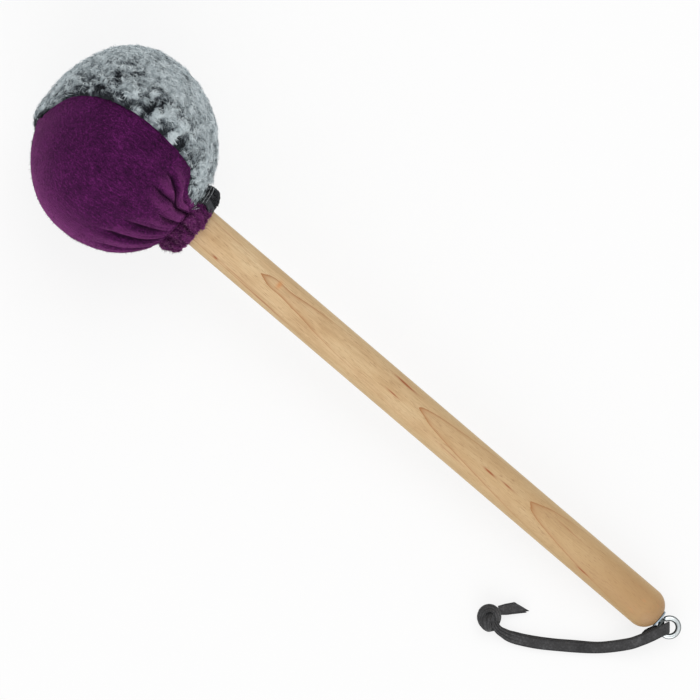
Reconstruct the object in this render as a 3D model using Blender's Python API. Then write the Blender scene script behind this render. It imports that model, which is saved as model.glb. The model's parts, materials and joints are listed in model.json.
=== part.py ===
"""Gong mallet: a turned handle, a two-faced padded head and a hanging lace.

The mallet lies on a table, on the flattened pile of its head and on the edge of its butt.
The handle's axis is X in a tilted frame whose origin is the ball's centre, with the butt at +X.
All lengths are in metres.
"""
import math

import bmesh
import bpy
from mathutils import Matrix, Vector

# Fits
SEAT_GAP = 0.00032

# Handle
HANDLE_DIAMETER = 0.0200
HANDLE_LENGTH = 0.3643
HANDLE_FRONT = 0.0180
FRONT_CHAMFER = 0.0010
BUTT_ROUNDING = 0.0093
BUTT_FACE_DIAMETER = 0.0096
HANDLE_SIDES = 32

# Core and its screw
CORE_DIAMETER = 0.0460
CORE_LENGTH = 0.0460
CORE_EDGE_RADIUS = 0.0060
CORE_END_WALL = 0.0060
CORE_SIDES = 32
CORE_EDGE_STEPS = 4
CORE_WASHER_DIAMETER = 0.0140
CORE_WASHER_THICKNESS = 0.0012
CORE_SCREW_DIAMETER = 0.0045
CORE_SCREW_LENGTH = 0.0320
CORE_SCREW_HEAD_DIAMETER = 0.0090
CORE_SCREW_HEAD_HEIGHT = 0.0028
CORE_SCREW_POINT = 0.0050
HARDWARE_SIDES = 20

# Padding and cover
FELT_THICKNESS = 0.0060
BALL_RADIUS = 0.0448
BALL_ROWS = 9
PANEL_COLUMNS = 32
PANEL_THICKNESS = 0.0024
FUR_RADIUS = 0.0530
FUR_CENTRE_SHIFT = 0.0068
FUR_FRONT_REACH = 0.0405
FUR_REAR_REACH = 0.0505
FUR_SQUARENESS = 2.4
SEAM_ANGLE = math.radians(31)
SEAM_BLEND_ANGLE = math.radians(16)
FLAT_DEPTH = 0.0005

# Neck, tie and ruffle
LIP_RADIUS = 0.0213
LIP_ROLL = 0.0054
LIP_OPENING = 0.0018
LIP_TURN = 0.0015
LINING_TURN = 0.0040
LINING_NECK = 0.0030
PILE_OVERHANG = 0.0005
PILE_LIP_HEIGHT = 0.0012
NECK_CLOTH = 0.0022
GROOVE_HEIGHT = 0.0030
GROOVE_FOLD_DEPTH = 0.0002
TIE_CORD = 0.0012
TIE_SPACING = 0.00045
TIE_TURNS = 2.5
TIE_STEPS = 24
RUFFLE_LENGTH = 0.0108
FLEECE_RUFFLE_RADIUS = 0.0174
FUR_RUFFLE_RADIUS = 0.0190
RUFFLE_FLARE = 0.0012
RUFFLE_EDGE = 0.0012
RUFFLE_FOLD_DEPTH = 0.0022
PLEATS = 8
PLEAT_DEPTH = 0.0012
PLEAT_START = 1.5
PLEAT_SPAN = 0.9
PLEAT_UNEVENNESS = 0.3
PILE_PLEAT_SHARE = 0.3
SEAM_FULLNESS = 0.15
POLE_FULLNESS = 0.6

# Butt hardware
BUTT_WASHER_DIAMETER = 0.0090
BUTT_WASHER_BORE = 0.0043
BUTT_WASHER_THICKNESS = 0.0008
EYE_WIRE = 0.0028
EYE_BORE = 0.0061
EYE_ARC = math.radians(332)
EYE_SHANK_LENGTH = 0.0200
EYE_POINT = 0.0050
EYE_STEPS = 26
EYE_SIDES = 10

# Lace
LACE_WIDTH = 0.0061
LACE_THICKNESS = 0.0013
LACE_PINCHED_WIDTH = 0.0046
LACE_BEVEL_SHARE = 0.35
LACE_STACK_GAP = 0.00045
LACE_JOIN = 0.0005
LACE_LIFT = 0.0002
FOLD_REACH = 0.0035
FOLD_HALF_HEIGHT = 0.0023
FOLD_STEPS = 12
PINCH_LENGTH = 0.0040
LACE_HEADING = math.radians(-115)
DROP_LENGTH = 0.034
KNOT_APPROACH = 0.014

# The lace's way over the table, from the eye's centre to where it nears the knot
LACE_ROUTE = (
    (-0.0041, -0.0093),
    (-0.0065, -0.0141),
    (-0.0099, -0.0195),
    (-0.0187, -0.0292),
    (-0.0284, -0.0370),
    (-0.0406, -0.0457),
    (-0.0496, -0.0511),
    (-0.0556, -0.0539),
    (-0.0590, -0.0547),
)

# The doubled lace's way through the overhand knot, from the knot's centre
KNOT_CENTRE = (-0.0700, -0.0537, 0.0053)
KNOT_TURN = math.radians(40.5)
KNOT_ROUTE = (
    (0.0046, -0.0057, -0.0016),
    (0.0026, -0.0036, 0.0014),
    (0.0004, -0.0002, 0.0028),
    (-0.0018, 0.0030, 0.0012),
    (-0.0004, 0.0048, -0.0020),
    (0.0026, 0.0028, -0.0028),
    (0.0030, -0.0018, -0.0026),
    (0.0000, -0.0050, -0.0016),
    (-0.0032, -0.0034, 0.0006),
    (-0.0038, 0.0004, 0.0020),
    (-0.0022, 0.0038, 0.0026),
    (0.0018, 0.0040, 0.0012),
    (0.0050, 0.0036, -0.0018),
)
KNOT_HEART = (0.0040, 0.0046, 0.0028)
KNOT_LACE_WIDTH = 0.0056
KNOT_SKIN_STEP = 0.0004
KNOT_FACE_SHARE = 0.12
SOCKET_REACH = 0.0080
SOCKET_CLEARANCE = 0.0005

# The two tails past the knot
TAIL_HEADING = math.radians(51)
TAIL_LENGTH = 0.0103
TAIL_SLANT = 0.0032
TAIL_SPREAD = math.radians(5)
TAIL_WIDTH = 0.0055
TAIL_DROP_SHARE = 0.7
TAIL_STEPS = 5


def finish(name, colour, roughness, metallic=0.0):
    """A plain material in a piece's own colour."""
    material = bpy.data.materials.new(name)
    material.use_nodes = True
    shader = material.node_tree.nodes["Principled BSDF"]
    shader.inputs["Base Color"].default_value = (*colour, 1.0)
    shader.inputs["Roughness"].default_value = roughness
    shader.inputs["Metallic"].default_value = metallic
    return material


def add_object(name, data, parent, material):
    """Links a mesh or curve under its parent, with its material."""
    piece = bpy.data.objects.new(name, data)
    bpy.context.collection.objects.link(piece)
    piece.parent = parent
    if material:
        data.materials.append(material)
    return piece


def add_empty(name, parent=None, location=(0, 0, 0), tilt=0.0):
    """A frame that pieces are placed in, tilted about Y."""
    empty = bpy.data.objects.new(name, None)
    bpy.context.collection.objects.link(empty)
    empty.parent = parent
    empty.location = location
    empty.rotation_euler = (0.0, tilt, 0.0)
    return empty


def mesh_from(bm, name, smooth_angle):
    """Writes a bmesh out as a mesh with outward faces, smooth up to the given angle."""
    bmesh.ops.recalc_face_normals(bm, faces=bm.faces)
    mesh = bpy.data.meshes.new(name)
    bm.to_mesh(mesh)
    bm.free()
    mesh.shade_smooth()
    mesh.set_sharp_from_angle(angle=smooth_angle)
    return mesh


def turned(name, outline, sides, parent, material, ring=False):
    """Turns an outline of (x, radius) points about the handle's axis.

    A ring's outline is closed; any other outline starts and ends on the axis.
    """
    bm = bmesh.new()
    facing = math.pi / sides
    points = [bm.verts.new((x, r * math.sin(facing), r * math.cos(facing))) for x, r in outline]
    edges = [bm.edges.new(pair) for pair in zip(points, points[1:])]
    if ring:
        edges.append(bm.edges.new((points[-1], points[0])))
    bmesh.ops.spin(
        bm,
        geom=points + edges,
        axis=(1, 0, 0),
        cent=(0, 0, 0),
        angle=2 * math.pi,
        steps=sides,
        use_merge=True,
    )
    bmesh.ops.remove_doubles(bm, verts=bm.verts, dist=1e-6)
    return add_object(name, mesh_from(bm, name, math.radians(35)), parent, material)


def arc(centre, radius, start, end, steps):
    """Points along a circular arc, with angles measured from +X towards the outside."""
    angles = (start + (end - start) * k / steps for k in range(steps + 1))
    return [(centre[0] + radius * math.cos(a), centre[1] + radius * math.sin(a)) for a in angles]


def smoothstep(value):
    """Eases from 0 to 1."""
    t = min(max(value, 0.0), 1.0)
    return t * t * (3 - 2 * t)


handle_radius = HANDLE_DIAMETER / 2
handle_bore = handle_radius + SEAT_GAP
handle_end = HANDLE_LENGTH - HANDLE_FRONT

core_radius = CORE_DIAMETER / 2
core_front = -HANDLE_FRONT - SEAT_GAP - CORE_END_WALL
core_rear = core_front + CORE_LENGTH
felt_radius = core_radius + SEAT_GAP + FELT_THICKNESS
felt_front = core_front + CORE_EDGE_RADIUS + 2 * SEAT_GAP
felt_rear = core_rear - CORE_EDGE_RADIUS - 2 * SEAT_GAP
core_washer_rear = core_front - SEAT_GAP
core_washer_front = core_washer_rear - CORE_WASHER_THICKNESS
screw_seat = core_washer_front - SEAT_GAP
screw_front = screw_seat - CORE_SCREW_HEAD_HEIGHT
screw_radius = CORE_SCREW_DIAMETER / 2
screw_head_radius = CORE_SCREW_HEAD_DIAMETER / 2

lip_x = math.sqrt(BALL_RADIUS**2 - LIP_RADIUS**2)
tie_x = lip_x + LIP_OPENING / 2
tie_pitch = TIE_CORD + TIE_SPACING
groove_half = TIE_TURNS * tie_pitch / 2 + TIE_CORD / 2 + SEAT_GAP
neck_radius = handle_bore + NECK_CLOTH

butt_washer_front = handle_end + SEAT_GAP
eye_ring_radius = (EYE_BORE + EYE_WIRE) / 2
eye_x = butt_washer_front + BUTT_WASHER_THICKNESS + SEAT_GAP + eye_ring_radius + EYE_WIRE / 2


def handle_outline():
    """The handle in profile, from its front pilot hole to the one for the screw eye."""
    screw_hole = screw_radius + SEAT_GAP
    screw_depth = screw_seat + CORE_SCREW_LENGTH + SEAT_GAP
    eye_hole = EYE_WIRE / 2 + SEAT_GAP
    eye_depth = eye_x - eye_ring_radius - EYE_SHANK_LENGTH - SEAT_GAP
    face = BUTT_FACE_DIAMETER / 2
    rounding_start = handle_end - BUTT_ROUNDING * math.sqrt(1 - (face / handle_radius) ** 2)
    outline = [
        (screw_depth, 0.0),
        (screw_depth, screw_hole),
        (-HANDLE_FRONT, screw_hole),
        (-HANDLE_FRONT, handle_radius - FRONT_CHAMFER),
        (-HANDLE_FRONT + FRONT_CHAMFER, handle_radius),
    ]
    last = math.acos(face / handle_radius)
    for k in range(7):
        angle = last * k / 6
        outline.append(
            (rounding_start + BUTT_ROUNDING * math.sin(angle), handle_radius * math.cos(angle))
        )
    outline += [(handle_end, eye_hole), (eye_depth, eye_hole), (eye_depth, 0.0)]
    return outline


def core_edges(radius):
    """The block's two rounded edges, drawn with the given radius."""
    height = core_radius - CORE_EDGE_RADIUS
    front_centre = (core_front + CORE_EDGE_RADIUS, height)
    rear_centre = (core_rear - CORE_EDGE_RADIUS, height)
    return (
        arc(front_centre, radius, math.pi, math.pi / 2, CORE_EDGE_STEPS),
        arc(rear_centre, radius, math.pi / 2, 0.0, CORE_EDGE_STEPS),
    )


def core_outline():
    """The bored block in profile: the handle's blind bore, the screw's hole and rounded edges."""
    screw_hole = screw_radius + SEAT_GAP
    front_edge, rear_edge = core_edges(CORE_EDGE_RADIUS)
    bore_end = -HANDLE_FRONT - SEAT_GAP
    return [
        (core_front, screw_hole),
        *front_edge,
        *rear_edge,
        (core_rear, handle_bore),
        (bore_end, handle_bore),
        (bore_end, screw_hole),
    ]


def screw_outline():
    """The core's pan-head screw in profile."""
    point_start = screw_seat + CORE_SCREW_LENGTH - CORE_SCREW_POINT
    return [
        (screw_front, 0.0),
        (screw_front, screw_head_radius * 0.55),
        (screw_front + CORE_SCREW_HEAD_HEIGHT * 0.4, screw_head_radius * 0.92),
        (screw_seat, screw_head_radius),
        (screw_seat, screw_radius),
        (point_start, screw_radius),
        (screw_seat + CORE_SCREW_LENGTH, 0.0),
    ]


def washer_outline(front, thickness, outside, bore):
    """A flat washer in profile."""
    return [
        (front, bore / 2),
        (front, outside / 2),
        (front + thickness, outside / 2),
        (front + thickness, bore / 2),
    ]


def ball_angles():
    """Polar angles of the ball's rows, from its pole to the lip that rolls over the tie."""
    last = math.pi - math.asin((LIP_RADIUS + LIP_ROLL) / BALL_RADIUS)
    return [last * k / BALL_ROWS for k in range(BALL_ROWS + 1)]


def cloth_profile(ruffle_radius):
    """The cover's outer side as (x, radius, pleat depth), from its pole to the ruffle's edge."""
    rows = []
    for angle in ball_angles():
        depth = PLEAT_DEPTH * smoothstep((angle - PLEAT_START) / PLEAT_SPAN)
        rows.append((-BALL_RADIUS * math.cos(angle), BALL_RADIUS * math.sin(angle), depth))
    groove_top = neck_radius + GROOVE_HEIGHT
    rows += [
        (lip_x, LIP_RADIUS - LIP_TURN, PLEAT_DEPTH),
        (tie_x - groove_half, groove_top, PLEAT_DEPTH * 0.4),
        (tie_x - groove_half, neck_radius, GROOVE_FOLD_DEPTH),
        (tie_x + groove_half, neck_radius, GROOVE_FOLD_DEPTH),
        (tie_x + groove_half, groove_top, PLEAT_DEPTH * 0.4),
        (tie_x + LIP_OPENING / 2, ruffle_radius - RUFFLE_EDGE, RUFFLE_FOLD_DEPTH * 0.3),
        (tie_x + RUFFLE_LENGTH * 0.45, ruffle_radius, RUFFLE_FOLD_DEPTH),
        (tie_x + RUFFLE_LENGTH - RUFFLE_EDGE, ruffle_radius - RUFFLE_EDGE / 2, RUFFLE_FOLD_DEPTH),
        (tie_x + RUFFLE_LENGTH, ruffle_radius - 2 * RUFFLE_EDGE, RUFFLE_FOLD_DEPTH * 0.8),
    ]
    return rows


def lining_profile():
    """The cover's inner side as (x, radius), row for row with the outer side."""
    inside = BALL_RADIUS - PANEL_THICKNESS
    rows = [(-inside * math.cos(angle), inside * math.sin(angle)) for angle in ball_angles()]
    wall = tie_x - groove_half - PANEL_THICKNESS
    rows += [
        (wall, LIP_RADIUS - LINING_TURN),
        (wall, handle_bore + LINING_NECK),
        (wall, handle_bore),
    ]
    for share in (0.1, 0.3, 0.5, 0.7, 0.85):
        rows.append((tie_x + RUFFLE_LENGTH * share, handle_bore))
    rows.append((tie_x + RUFFLE_LENGTH, handle_bore + RUFFLE_FLARE))
    return rows


def pile_profile():
    """The fur's combed surface in profile: squarer in front, longer towards the neck."""
    rows = []
    power = 2 / FUR_SQUARENESS
    for angle in ball_angles():
        if angle < math.pi / 2:
            x = -FUR_FRONT_REACH * math.cos(angle) ** power
            radius = FUR_RADIUS * math.sin(angle) ** power
        else:
            x = -FUR_REAR_REACH * math.cos(angle)
            radius = FUR_RADIUS * math.sin(angle)
        rows.append((x - FUR_CENTRE_SHIFT, radius))
    rows.append((lip_x + PILE_OVERHANG, LIP_RADIUS + PILE_LIP_HEIGHT))
    return rows


def padding_outline():
    """The stuffing in profile: the hollow that holds core, felt and screw, then the ball."""
    gap = SEAT_GAP
    washer_radius = CORE_WASHER_DIAMETER / 2
    front_edge, rear_edge = core_edges(CORE_EDGE_RADIUS + gap)
    hollow = [
        (screw_front - gap, 0.0),
        (screw_front - gap, screw_head_radius + gap),
        (core_washer_front - gap, screw_head_radius + gap),
        (core_washer_front - gap, washer_radius + gap),
        (core_front - gap, washer_radius + gap),
        *front_edge,
        (felt_front - gap, core_radius + gap),
        (felt_front - gap, felt_radius + gap),
        (felt_rear + gap, felt_radius + gap),
        (felt_rear + gap, core_radius + gap),
        *rear_edge,
        (core_rear + gap, handle_bore),
    ]
    lining = lining_profile()
    shrink = 1 - gap / (BALL_RADIUS - PANEL_THICKNESS)
    ball = [(x * shrink, r * shrink) for x, r in lining[: BALL_ROWS + 1]]
    shoulder = [(x - gap, r) for x, r in lining[BALL_ROWS + 1 : BALL_ROWS + 4]]
    return hollow + shoulder[::-1] + ball[::-1]


def cover_panel(name, start_angle, ruffle_radius, furry, parent, material):
    """One half of the head's cover, with its pleats, its neck and its half of the ruffle."""
    bm = bmesh.new()
    cloth = cloth_profile(ruffle_radius)
    pile = pile_profile() if furry else []
    lining = lining_profile()
    middle = start_angle + math.pi / 2
    aside = Vector((0, math.sin(middle), math.cos(middle))) * SEAT_GAP / 2

    def place(x, radius, angle):
        return bm.verts.new(Vector((x, radius * math.sin(angle), radius * math.cos(angle))) + aside)

    pole_x = cloth[0][0]
    if furry:
        pole_x += (pile[0][0] - pole_x) * POLE_FULLNESS
    outer = [[place(pole_x, 0.0, 0.0)] * (PANEL_COLUMNS + 1)]
    inner = [[place(lining[0][0], 0.0, 0.0)] * (PANEL_COLUMNS + 1)]
    for row in range(1, len(cloth)):
        x, radius, depth = cloth[row]
        outer.append([])
        inner.append([])
        for column in range(PANEL_COLUMNS + 1):
            share = column / PANEL_COLUMNS
            angle = start_angle + math.pi * share
            swell = 1 + PLEAT_UNEVENNESS * math.sin(5.1 * angle + 1)
            fold = -math.cos(2 * math.pi * PLEATS * share) * swell
            point_x, point_radius = x, radius + depth * fold
            if row < len(pile):
                from_seam = min(share, 1 - share) * math.pi
                blend = smoothstep(from_seam / SEAM_BLEND_ANGLE)
                fullness = SEAM_FULLNESS + (1 - SEAM_FULLNESS) * blend
                point_x += (pile[row][0] - x) * fullness
                point_radius = radius + (pile[row][1] - radius) * fullness
                point_radius += PILE_PLEAT_SHARE * depth * fold
            outer[-1].append(place(point_x, point_radius, angle))
            inner[-1].append(place(*lining[row], angle))

    def quad(*corners):
        bm.faces.new(list(dict.fromkeys(corners)))

    for side in (outer, inner):
        for near, far in zip(side, side[1:]):
            for c in range(PANEL_COLUMNS):
                quad(near[c], near[c + 1], far[c + 1], far[c])
    for seam in (0, -1):
        bm.faces.new([row[seam] for row in outer] + [row[seam] for row in reversed(inner)])
    for c in range(PANEL_COLUMNS):
        quad(outer[-1][c], outer[-1][c + 1], inner[-1][c + 1], inner[-1][c])
    return add_object(name, mesh_from(bm, name, math.radians(60)), parent, material)


def tie_winding(parent, material):
    """The cord wound round the gathered neck, as one unbroken tube in the groove."""
    folds_top = neck_radius + GROOVE_FOLD_DEPTH * (1 + PLEAT_UNEVENNESS) + SEAT_GAP / 2
    radius = (folds_top + SEAT_GAP) / math.cos(math.pi / TIE_STEPS) + TIE_CORD / 2
    centres = []
    for k in range(round(TIE_TURNS * TIE_STEPS) + 1):
        angle = SEAM_ANGLE + 2 * math.pi * k / TIE_STEPS
        x = tie_x + tie_pitch * (k / TIE_STEPS - TIE_TURNS / 2)
        centres.append(Vector((x, radius * math.sin(angle), radius * math.cos(angle))))
    apart = TIE_STEPS // 2
    nearest = min(
        (a - b).length for i, a in enumerate(centres) for b in centres[i + apart :]
    )
    print(f"tie: least gap between turns {1000 * (nearest - TIE_CORD):.2f} mm")
    curve = bpy.data.curves.new("neck_tie", "CURVE")
    curve.dimensions = "3D"
    curve.bevel_depth = TIE_CORD / 2
    curve.bevel_resolution = 1
    curve.use_fill_caps = True
    spline = curve.splines.new("POLY")
    spline.points.add(len(centres) - 1)
    for point, centre in zip(spline.points, centres):
        point.co = (*centre, 1.0)
    return add_object("neck_tie", curve, parent, material)


def screw_eye(parent, material):
    """The eye's bent ring, joined to its straight shank by a union."""
    bm = bmesh.new()
    rings = []
    for k in range(EYE_STEPS + 1):
        angle = math.pi + EYE_ARC * k / EYE_STEPS
        outward = Vector((math.cos(angle), math.sin(angle), 0))
        centre = Vector((eye_x, 0, 0)) + outward * eye_ring_radius
        rings.append(
            [
                bm.verts.new(
                    centre
                    + outward * math.cos(turn) * EYE_WIRE / 2
                    + Vector((0, 0, 1)) * math.sin(turn) * EYE_WIRE / 2
                )
                for turn in (2 * math.pi * s / EYE_SIDES for s in range(EYE_SIDES))
            ]
        )
    for near, far in zip(rings, rings[1:]):
        for s in range(EYE_SIDES):
            t = (s + 1) % EYE_SIDES
            bm.faces.new((near[s], near[t], far[t], far[s]))
    bm.faces.new(rings[0])
    bm.faces.new(rings[-1])
    ring = add_object("screw_eye", mesh_from(bm, "screw_eye", math.radians(50)), parent, material)
    top = eye_x - eye_ring_radius
    point_end = top - EYE_SHANK_LENGTH
    shank = turned(
        "eye_shank_tool",
        [
            (point_end, 0.0),
            (point_end + EYE_POINT, EYE_WIRE / 2),
            (top - EYE_WIRE * 0.2, EYE_WIRE / 2),
            (top + EYE_WIRE * 0.15, EYE_WIRE * 0.36),
            (top + EYE_WIRE * 0.25, 0.0),
        ],
        12,
        parent,
        material,
    )
    shank.hide_render = True
    shank.display_type = "WIRE"
    union = ring.modifiers.new("shank", "BOOLEAN")
    union.operation = "UNION"
    union.object = shank
    return ring


def smooth_route(points, spacing):
    """Reads evenly spaced points from a smooth curve through the given ones."""
    fine = []
    ends = [2 * points[0] - points[1], *points, 2 * points[-1] - points[-2]]
    for before, start, end, after in zip(ends, ends[1:], ends[2:], ends[3:]):
        for k in range(12):
            t = k / 12
            fine.append(
                0.5
                * (
                    2 * start
                    + (end - before) * t
                    + (2 * before - 5 * start + 4 * end - after) * t * t
                    + (3 * start - before - 3 * end + after) * t**3
                )
            )
    fine.append(points[-1])
    lengths = [0.0]
    for a, b in zip(fine, fine[1:]):
        lengths.append(lengths[-1] + (b - a).length)
    count = max(2, round(lengths[-1] / spacing))
    route, index = [], 0
    for k in range(count + 1):
        target = lengths[-1] * k / count
        while index < len(fine) - 2 and lengths[index + 1] < target:
            index += 1
        share = (target - lengths[index]) / (lengths[index + 1] - lengths[index])
        route.append(fine[index].lerp(fine[index + 1], share))
    return route


def ribbon(bm, route, across, widths, thickness, slant=0.0):
    """Sweeps a flat lace with bevelled edges along a route.

    across holds the direction of the lace's width at each point of the route.
    """
    bevel = thickness * LACE_BEVEL_SHARE
    sections = []
    for k, centre in enumerate(route):
        before, after = route[max(k - 1, 0)], route[min(k + 1, len(route) - 1)]
        along = (after - before).normalized()
        side = (across[k] - along * across[k].dot(along)).normalized()
        face = along.cross(side)
        half, flat, rise = widths[k] / 2, widths[k] / 2 - bevel, thickness / 2
        section = []
        corners = ((half, 0), (flat, rise), (-flat, rise), (-half, 0), (-flat, -rise), (flat, -rise))
        for out, up in corners:
            shear = slant * out / half if k == len(route) - 1 else 0.0
            section.append(bm.verts.new(centre + side * out + face * up + along * shear))
        sections.append(section)
    for near, far in zip(sections, sections[1:]):
        for s in range(6):
            t = (s + 1) % 6
            bm.faces.new((near[s], near[t], far[t], far[s]))
    bm.faces.new(sections[0])
    bm.faces.new(sections[-1])


def level_widths(route):
    """For each point of a route, the level direction square to it."""
    directions = []
    for k in range(len(route)):
        along = route[min(k + 1, len(route) - 1)] - route[max(k - 1, 0)]
        directions.append(Vector((-along.y, along.x, 0)).normalized())
    return directions


def knot_point(point):
    """A point of the knot's own frame, seen from the eye's centre and above the table."""
    return Matrix.Rotation(KNOT_TURN, 3, "Z") @ Vector(point) + Vector(KNOT_CENTRE)


def stack_offset(upper):
    """How far a lace lies above or below the middle of the doubled lace."""
    return (1 if upper else -1) * (LACE_THICKNESS + LACE_STACK_GAP) / 2


def lace_run(name, upper, eye_height, parent, material):
    """One of the two stacked runs, from the fold at the eye down to the table and the knot."""
    heading = Vector((math.cos(LACE_HEADING), math.sin(LACE_HEADING), 0))
    start = heading * (eye_ring_radius + LACE_JOIN)
    entry = knot_point(KNOT_ROUTE[0])
    plan = [start, *(Vector((x, y, 0)) for x, y in LACE_ROUTE), Vector((entry.x, entry.y, 0))]
    plan = smooth_route(plan, LACE_WIDTH / 2)
    level = LACE_LIFT + LACE_THICKNESS / 2 - eye_height
    if upper:
        level += LACE_THICKNESS + LACE_STACK_GAP
    knot_level = entry.z - eye_height + stack_offset(upper)
    from_eye = (1 if upper else -1) * (FOLD_HALF_HEIGHT + LACE_THICKNESS / 2)
    travelled, total = 0.0, sum((b - a).length for a, b in zip(plan, plan[1:]))
    route, widths = [], []
    for k, point in enumerate(plan):
        if k:
            travelled += (point - plan[k - 1]).length
        drop = smoothstep(travelled / DROP_LENGTH)
        rise = (knot_level - level) * smoothstep(1 - (total - travelled) / KNOT_APPROACH)
        height = from_eye + (level - from_eye) * drop + rise
        route.append(Vector((point.x, point.y, height)))
        spread = smoothstep(travelled / PINCH_LENGTH)
        widths.append(LACE_PINCHED_WIDTH + (LACE_WIDTH - LACE_PINCHED_WIDTH) * spread)
    bm = bmesh.new()
    ribbon(bm, route, level_widths(route), widths, LACE_THICKNESS)
    return add_object(name, mesh_from(bm, name, math.radians(30)), parent, material)


def lace_fold(parent, material):
    """The lace's fold round the eye's wire, pinched to pass through the eye."""
    heading = Vector((math.cos(LACE_HEADING), math.sin(LACE_HEADING), 0))
    centre = heading * eye_ring_radius
    reach = FOLD_REACH + LACE_THICKNESS / 2
    height = FOLD_HALF_HEIGHT + LACE_THICKNESS / 2
    route = []
    for k in range(FOLD_STEPS + 1):
        angle = math.pi / 2 - math.pi * k / FOLD_STEPS
        route.append(
            centre - heading * reach * math.cos(angle) + Vector((0, 0, height * math.sin(angle)))
        )
    across = [Vector((-heading.y, heading.x, 0))] * len(route)
    widths = [LACE_PINCHED_WIDTH] * len(route)
    bm = bmesh.new()
    ribbon(bm, route, across, widths, LACE_THICKNESS)
    return add_object("strap_fold", mesh_from(bm, "strap_fold", math.radians(30)), parent, material)


def lace_knot(eye_height, parent, material):
    """The overhand knot of the doubled lace, drawn tight into one lump."""
    turn = Matrix.Rotation(KNOT_TURN, 3, "Z")
    drop = Vector((0, 0, -eye_height))
    route = smooth_route([Vector(point) for point in KNOT_ROUTE], LACE_WIDTH / 5)
    across = []
    for k, point in enumerate(route):
        along = route[min(k + 1, len(route) - 1)] - route[max(k - 1, 0)]
        outward = Vector((0, 0, 1)) if k in (0, len(route) - 1) else point
        across.append(turn @ along.cross(outward).normalized())
    bm = bmesh.new()
    doubled = 2 * LACE_THICKNESS + LACE_STACK_GAP
    widths = [KNOT_LACE_WIDTH] * len(route)
    ribbon(bm, [knot_point(point) + drop for point in route], across, widths, doubled)
    place = Matrix.Translation(knot_point((0, 0, 0)) + drop) @ turn.to_4x4()
    heart = place @ Matrix.Diagonal((*KNOT_HEART, 1))
    bmesh.ops.create_icosphere(bm, subdivisions=2, radius=1, matrix=heart)
    knot = add_object("strap_knot", mesh_from(bm, "strap_knot", math.radians(40)), parent, material)
    skin = knot.modifiers.new("drawn tight", "REMESH")
    skin.mode = "VOXEL"
    skin.voxel_size = KNOT_SKIN_STEP
    fewer = knot.modifiers.new("fewer faces", "DECIMATE")
    fewer.ratio = KNOT_FACE_SHARE

    entry = knot_point(KNOT_ROUTE[0]) + drop
    arrival = entry.to_2d() - Vector(LACE_ROUTE[-1])
    mouths = (
        ("entry_tool", entry, -arrival.to_3d(), LACE_WIDTH),
        ("exit_tool", knot_point(KNOT_ROUTE[-1]) + drop, tail_direction(TAIL_SPREAD / 2), TAIL_WIDTH),
    )
    for name, mouth, outward, width in mouths:
        tool = lace_socket(name, mouth, outward, width, parent)
        opening = knot.modifiers.new(name, "BOOLEAN")
        opening.operation = "DIFFERENCE"
        opening.object = tool
    return knot


def lace_socket(name, mouth, outward, width, parent):
    """A block round the doubled lace where it leaves the knot, which cuts the room for it."""
    frame = outward.to_track_quat("X", "Z").to_matrix().to_4x4()
    frame.translation = mouth
    height = 2 * (LACE_THICKNESS + SOCKET_CLEARANCE) + LACE_STACK_GAP
    shift = Matrix.Translation((SOCKET_REACH / 2 - SOCKET_CLEARANCE, 0, 0))
    size = Matrix.Diagonal((SOCKET_REACH, width + 2 * SOCKET_CLEARANCE, height, 1))
    bm = bmesh.new()
    bmesh.ops.create_cube(bm, size=1, matrix=frame @ shift @ size)
    tool = add_object(name, mesh_from(bm, name, 0.5), parent, None)
    tool.hide_render = True
    tool.display_type = "WIRE"
    return tool


def tail_direction(spread):
    """The level direction of a tail, turned back from the upper one by the given angle."""
    heading = TAIL_HEADING - spread
    return Vector((math.cos(heading), math.sin(heading), 0))


def lace_tail(name, upper, eye_height, parent, material):
    """A tail of the lace past the knot, with its slanting cut."""
    along = tail_direction(0.0 if upper else TAIL_SPREAD)
    start = knot_point(KNOT_ROUTE[-1])
    start.z += stack_offset(upper)
    end_height = LACE_LIFT + LACE_THICKNESS / 2
    if upper:
        end_height += LACE_THICKNESS + LACE_STACK_GAP
    shares = [TAIL_DROP_SHARE * k / TAIL_STEPS for k in range(TAIL_STEPS + 1)]
    route = []
    for share in (*shares, TAIL_DROP_SHARE + 0.02, 1.0):
        point = start + along * TAIL_LENGTH * share
        drop = smoothstep(share / TAIL_DROP_SHARE)
        point.z = start.z + (end_height - start.z) * drop - eye_height
        route.append(point)
    widths = [TAIL_WIDTH] * len(route)
    bm = bmesh.new()
    ribbon(bm, route, level_widths(route), widths, LACE_THICKNESS, -TAIL_SLANT)
    return add_object(name, mesh_from(bm, name, math.radians(30)), parent, material)


def lowest(outline, tilt):
    """How far an outline turned about the tilted axis reaches below the ball's centre."""
    return max(x * math.sin(tilt) + r * math.cos(tilt) for x, r in outline)


def resting_tilt():
    """The handle's slope when both the pressed pile and the butt touch the table."""
    facet = math.cos(math.pi / HANDLE_SIDES)
    butt = [(x, r * facet) for x, r in handle_outline()]
    low, high = 0.0, 0.5
    for _ in range(60):
        middle = (low + high) / 2
        if lowest(pile_profile(), middle) - FLAT_DEPTH > lowest(butt, middle):
            low = middle
        else:
            high = middle
    return low


def footprint_centre(pieces):
    """The middle of the pieces' box, seen from above."""
    depsgraph = bpy.context.evaluated_depsgraph_get()
    xs, ys = [], []
    for piece in pieces:
        evaluated = piece.evaluated_get(depsgraph)
        mesh = evaluated.to_mesh()
        for vertex in mesh.vertices:
            corner = evaluated.matrix_world @ vertex.co
            xs.append(corner.x)
            ys.append(corner.y)
        evaluated.to_mesh_clear()
    return (min(xs) + max(xs)) / 2, (min(ys) + max(ys)) / 2


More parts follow.
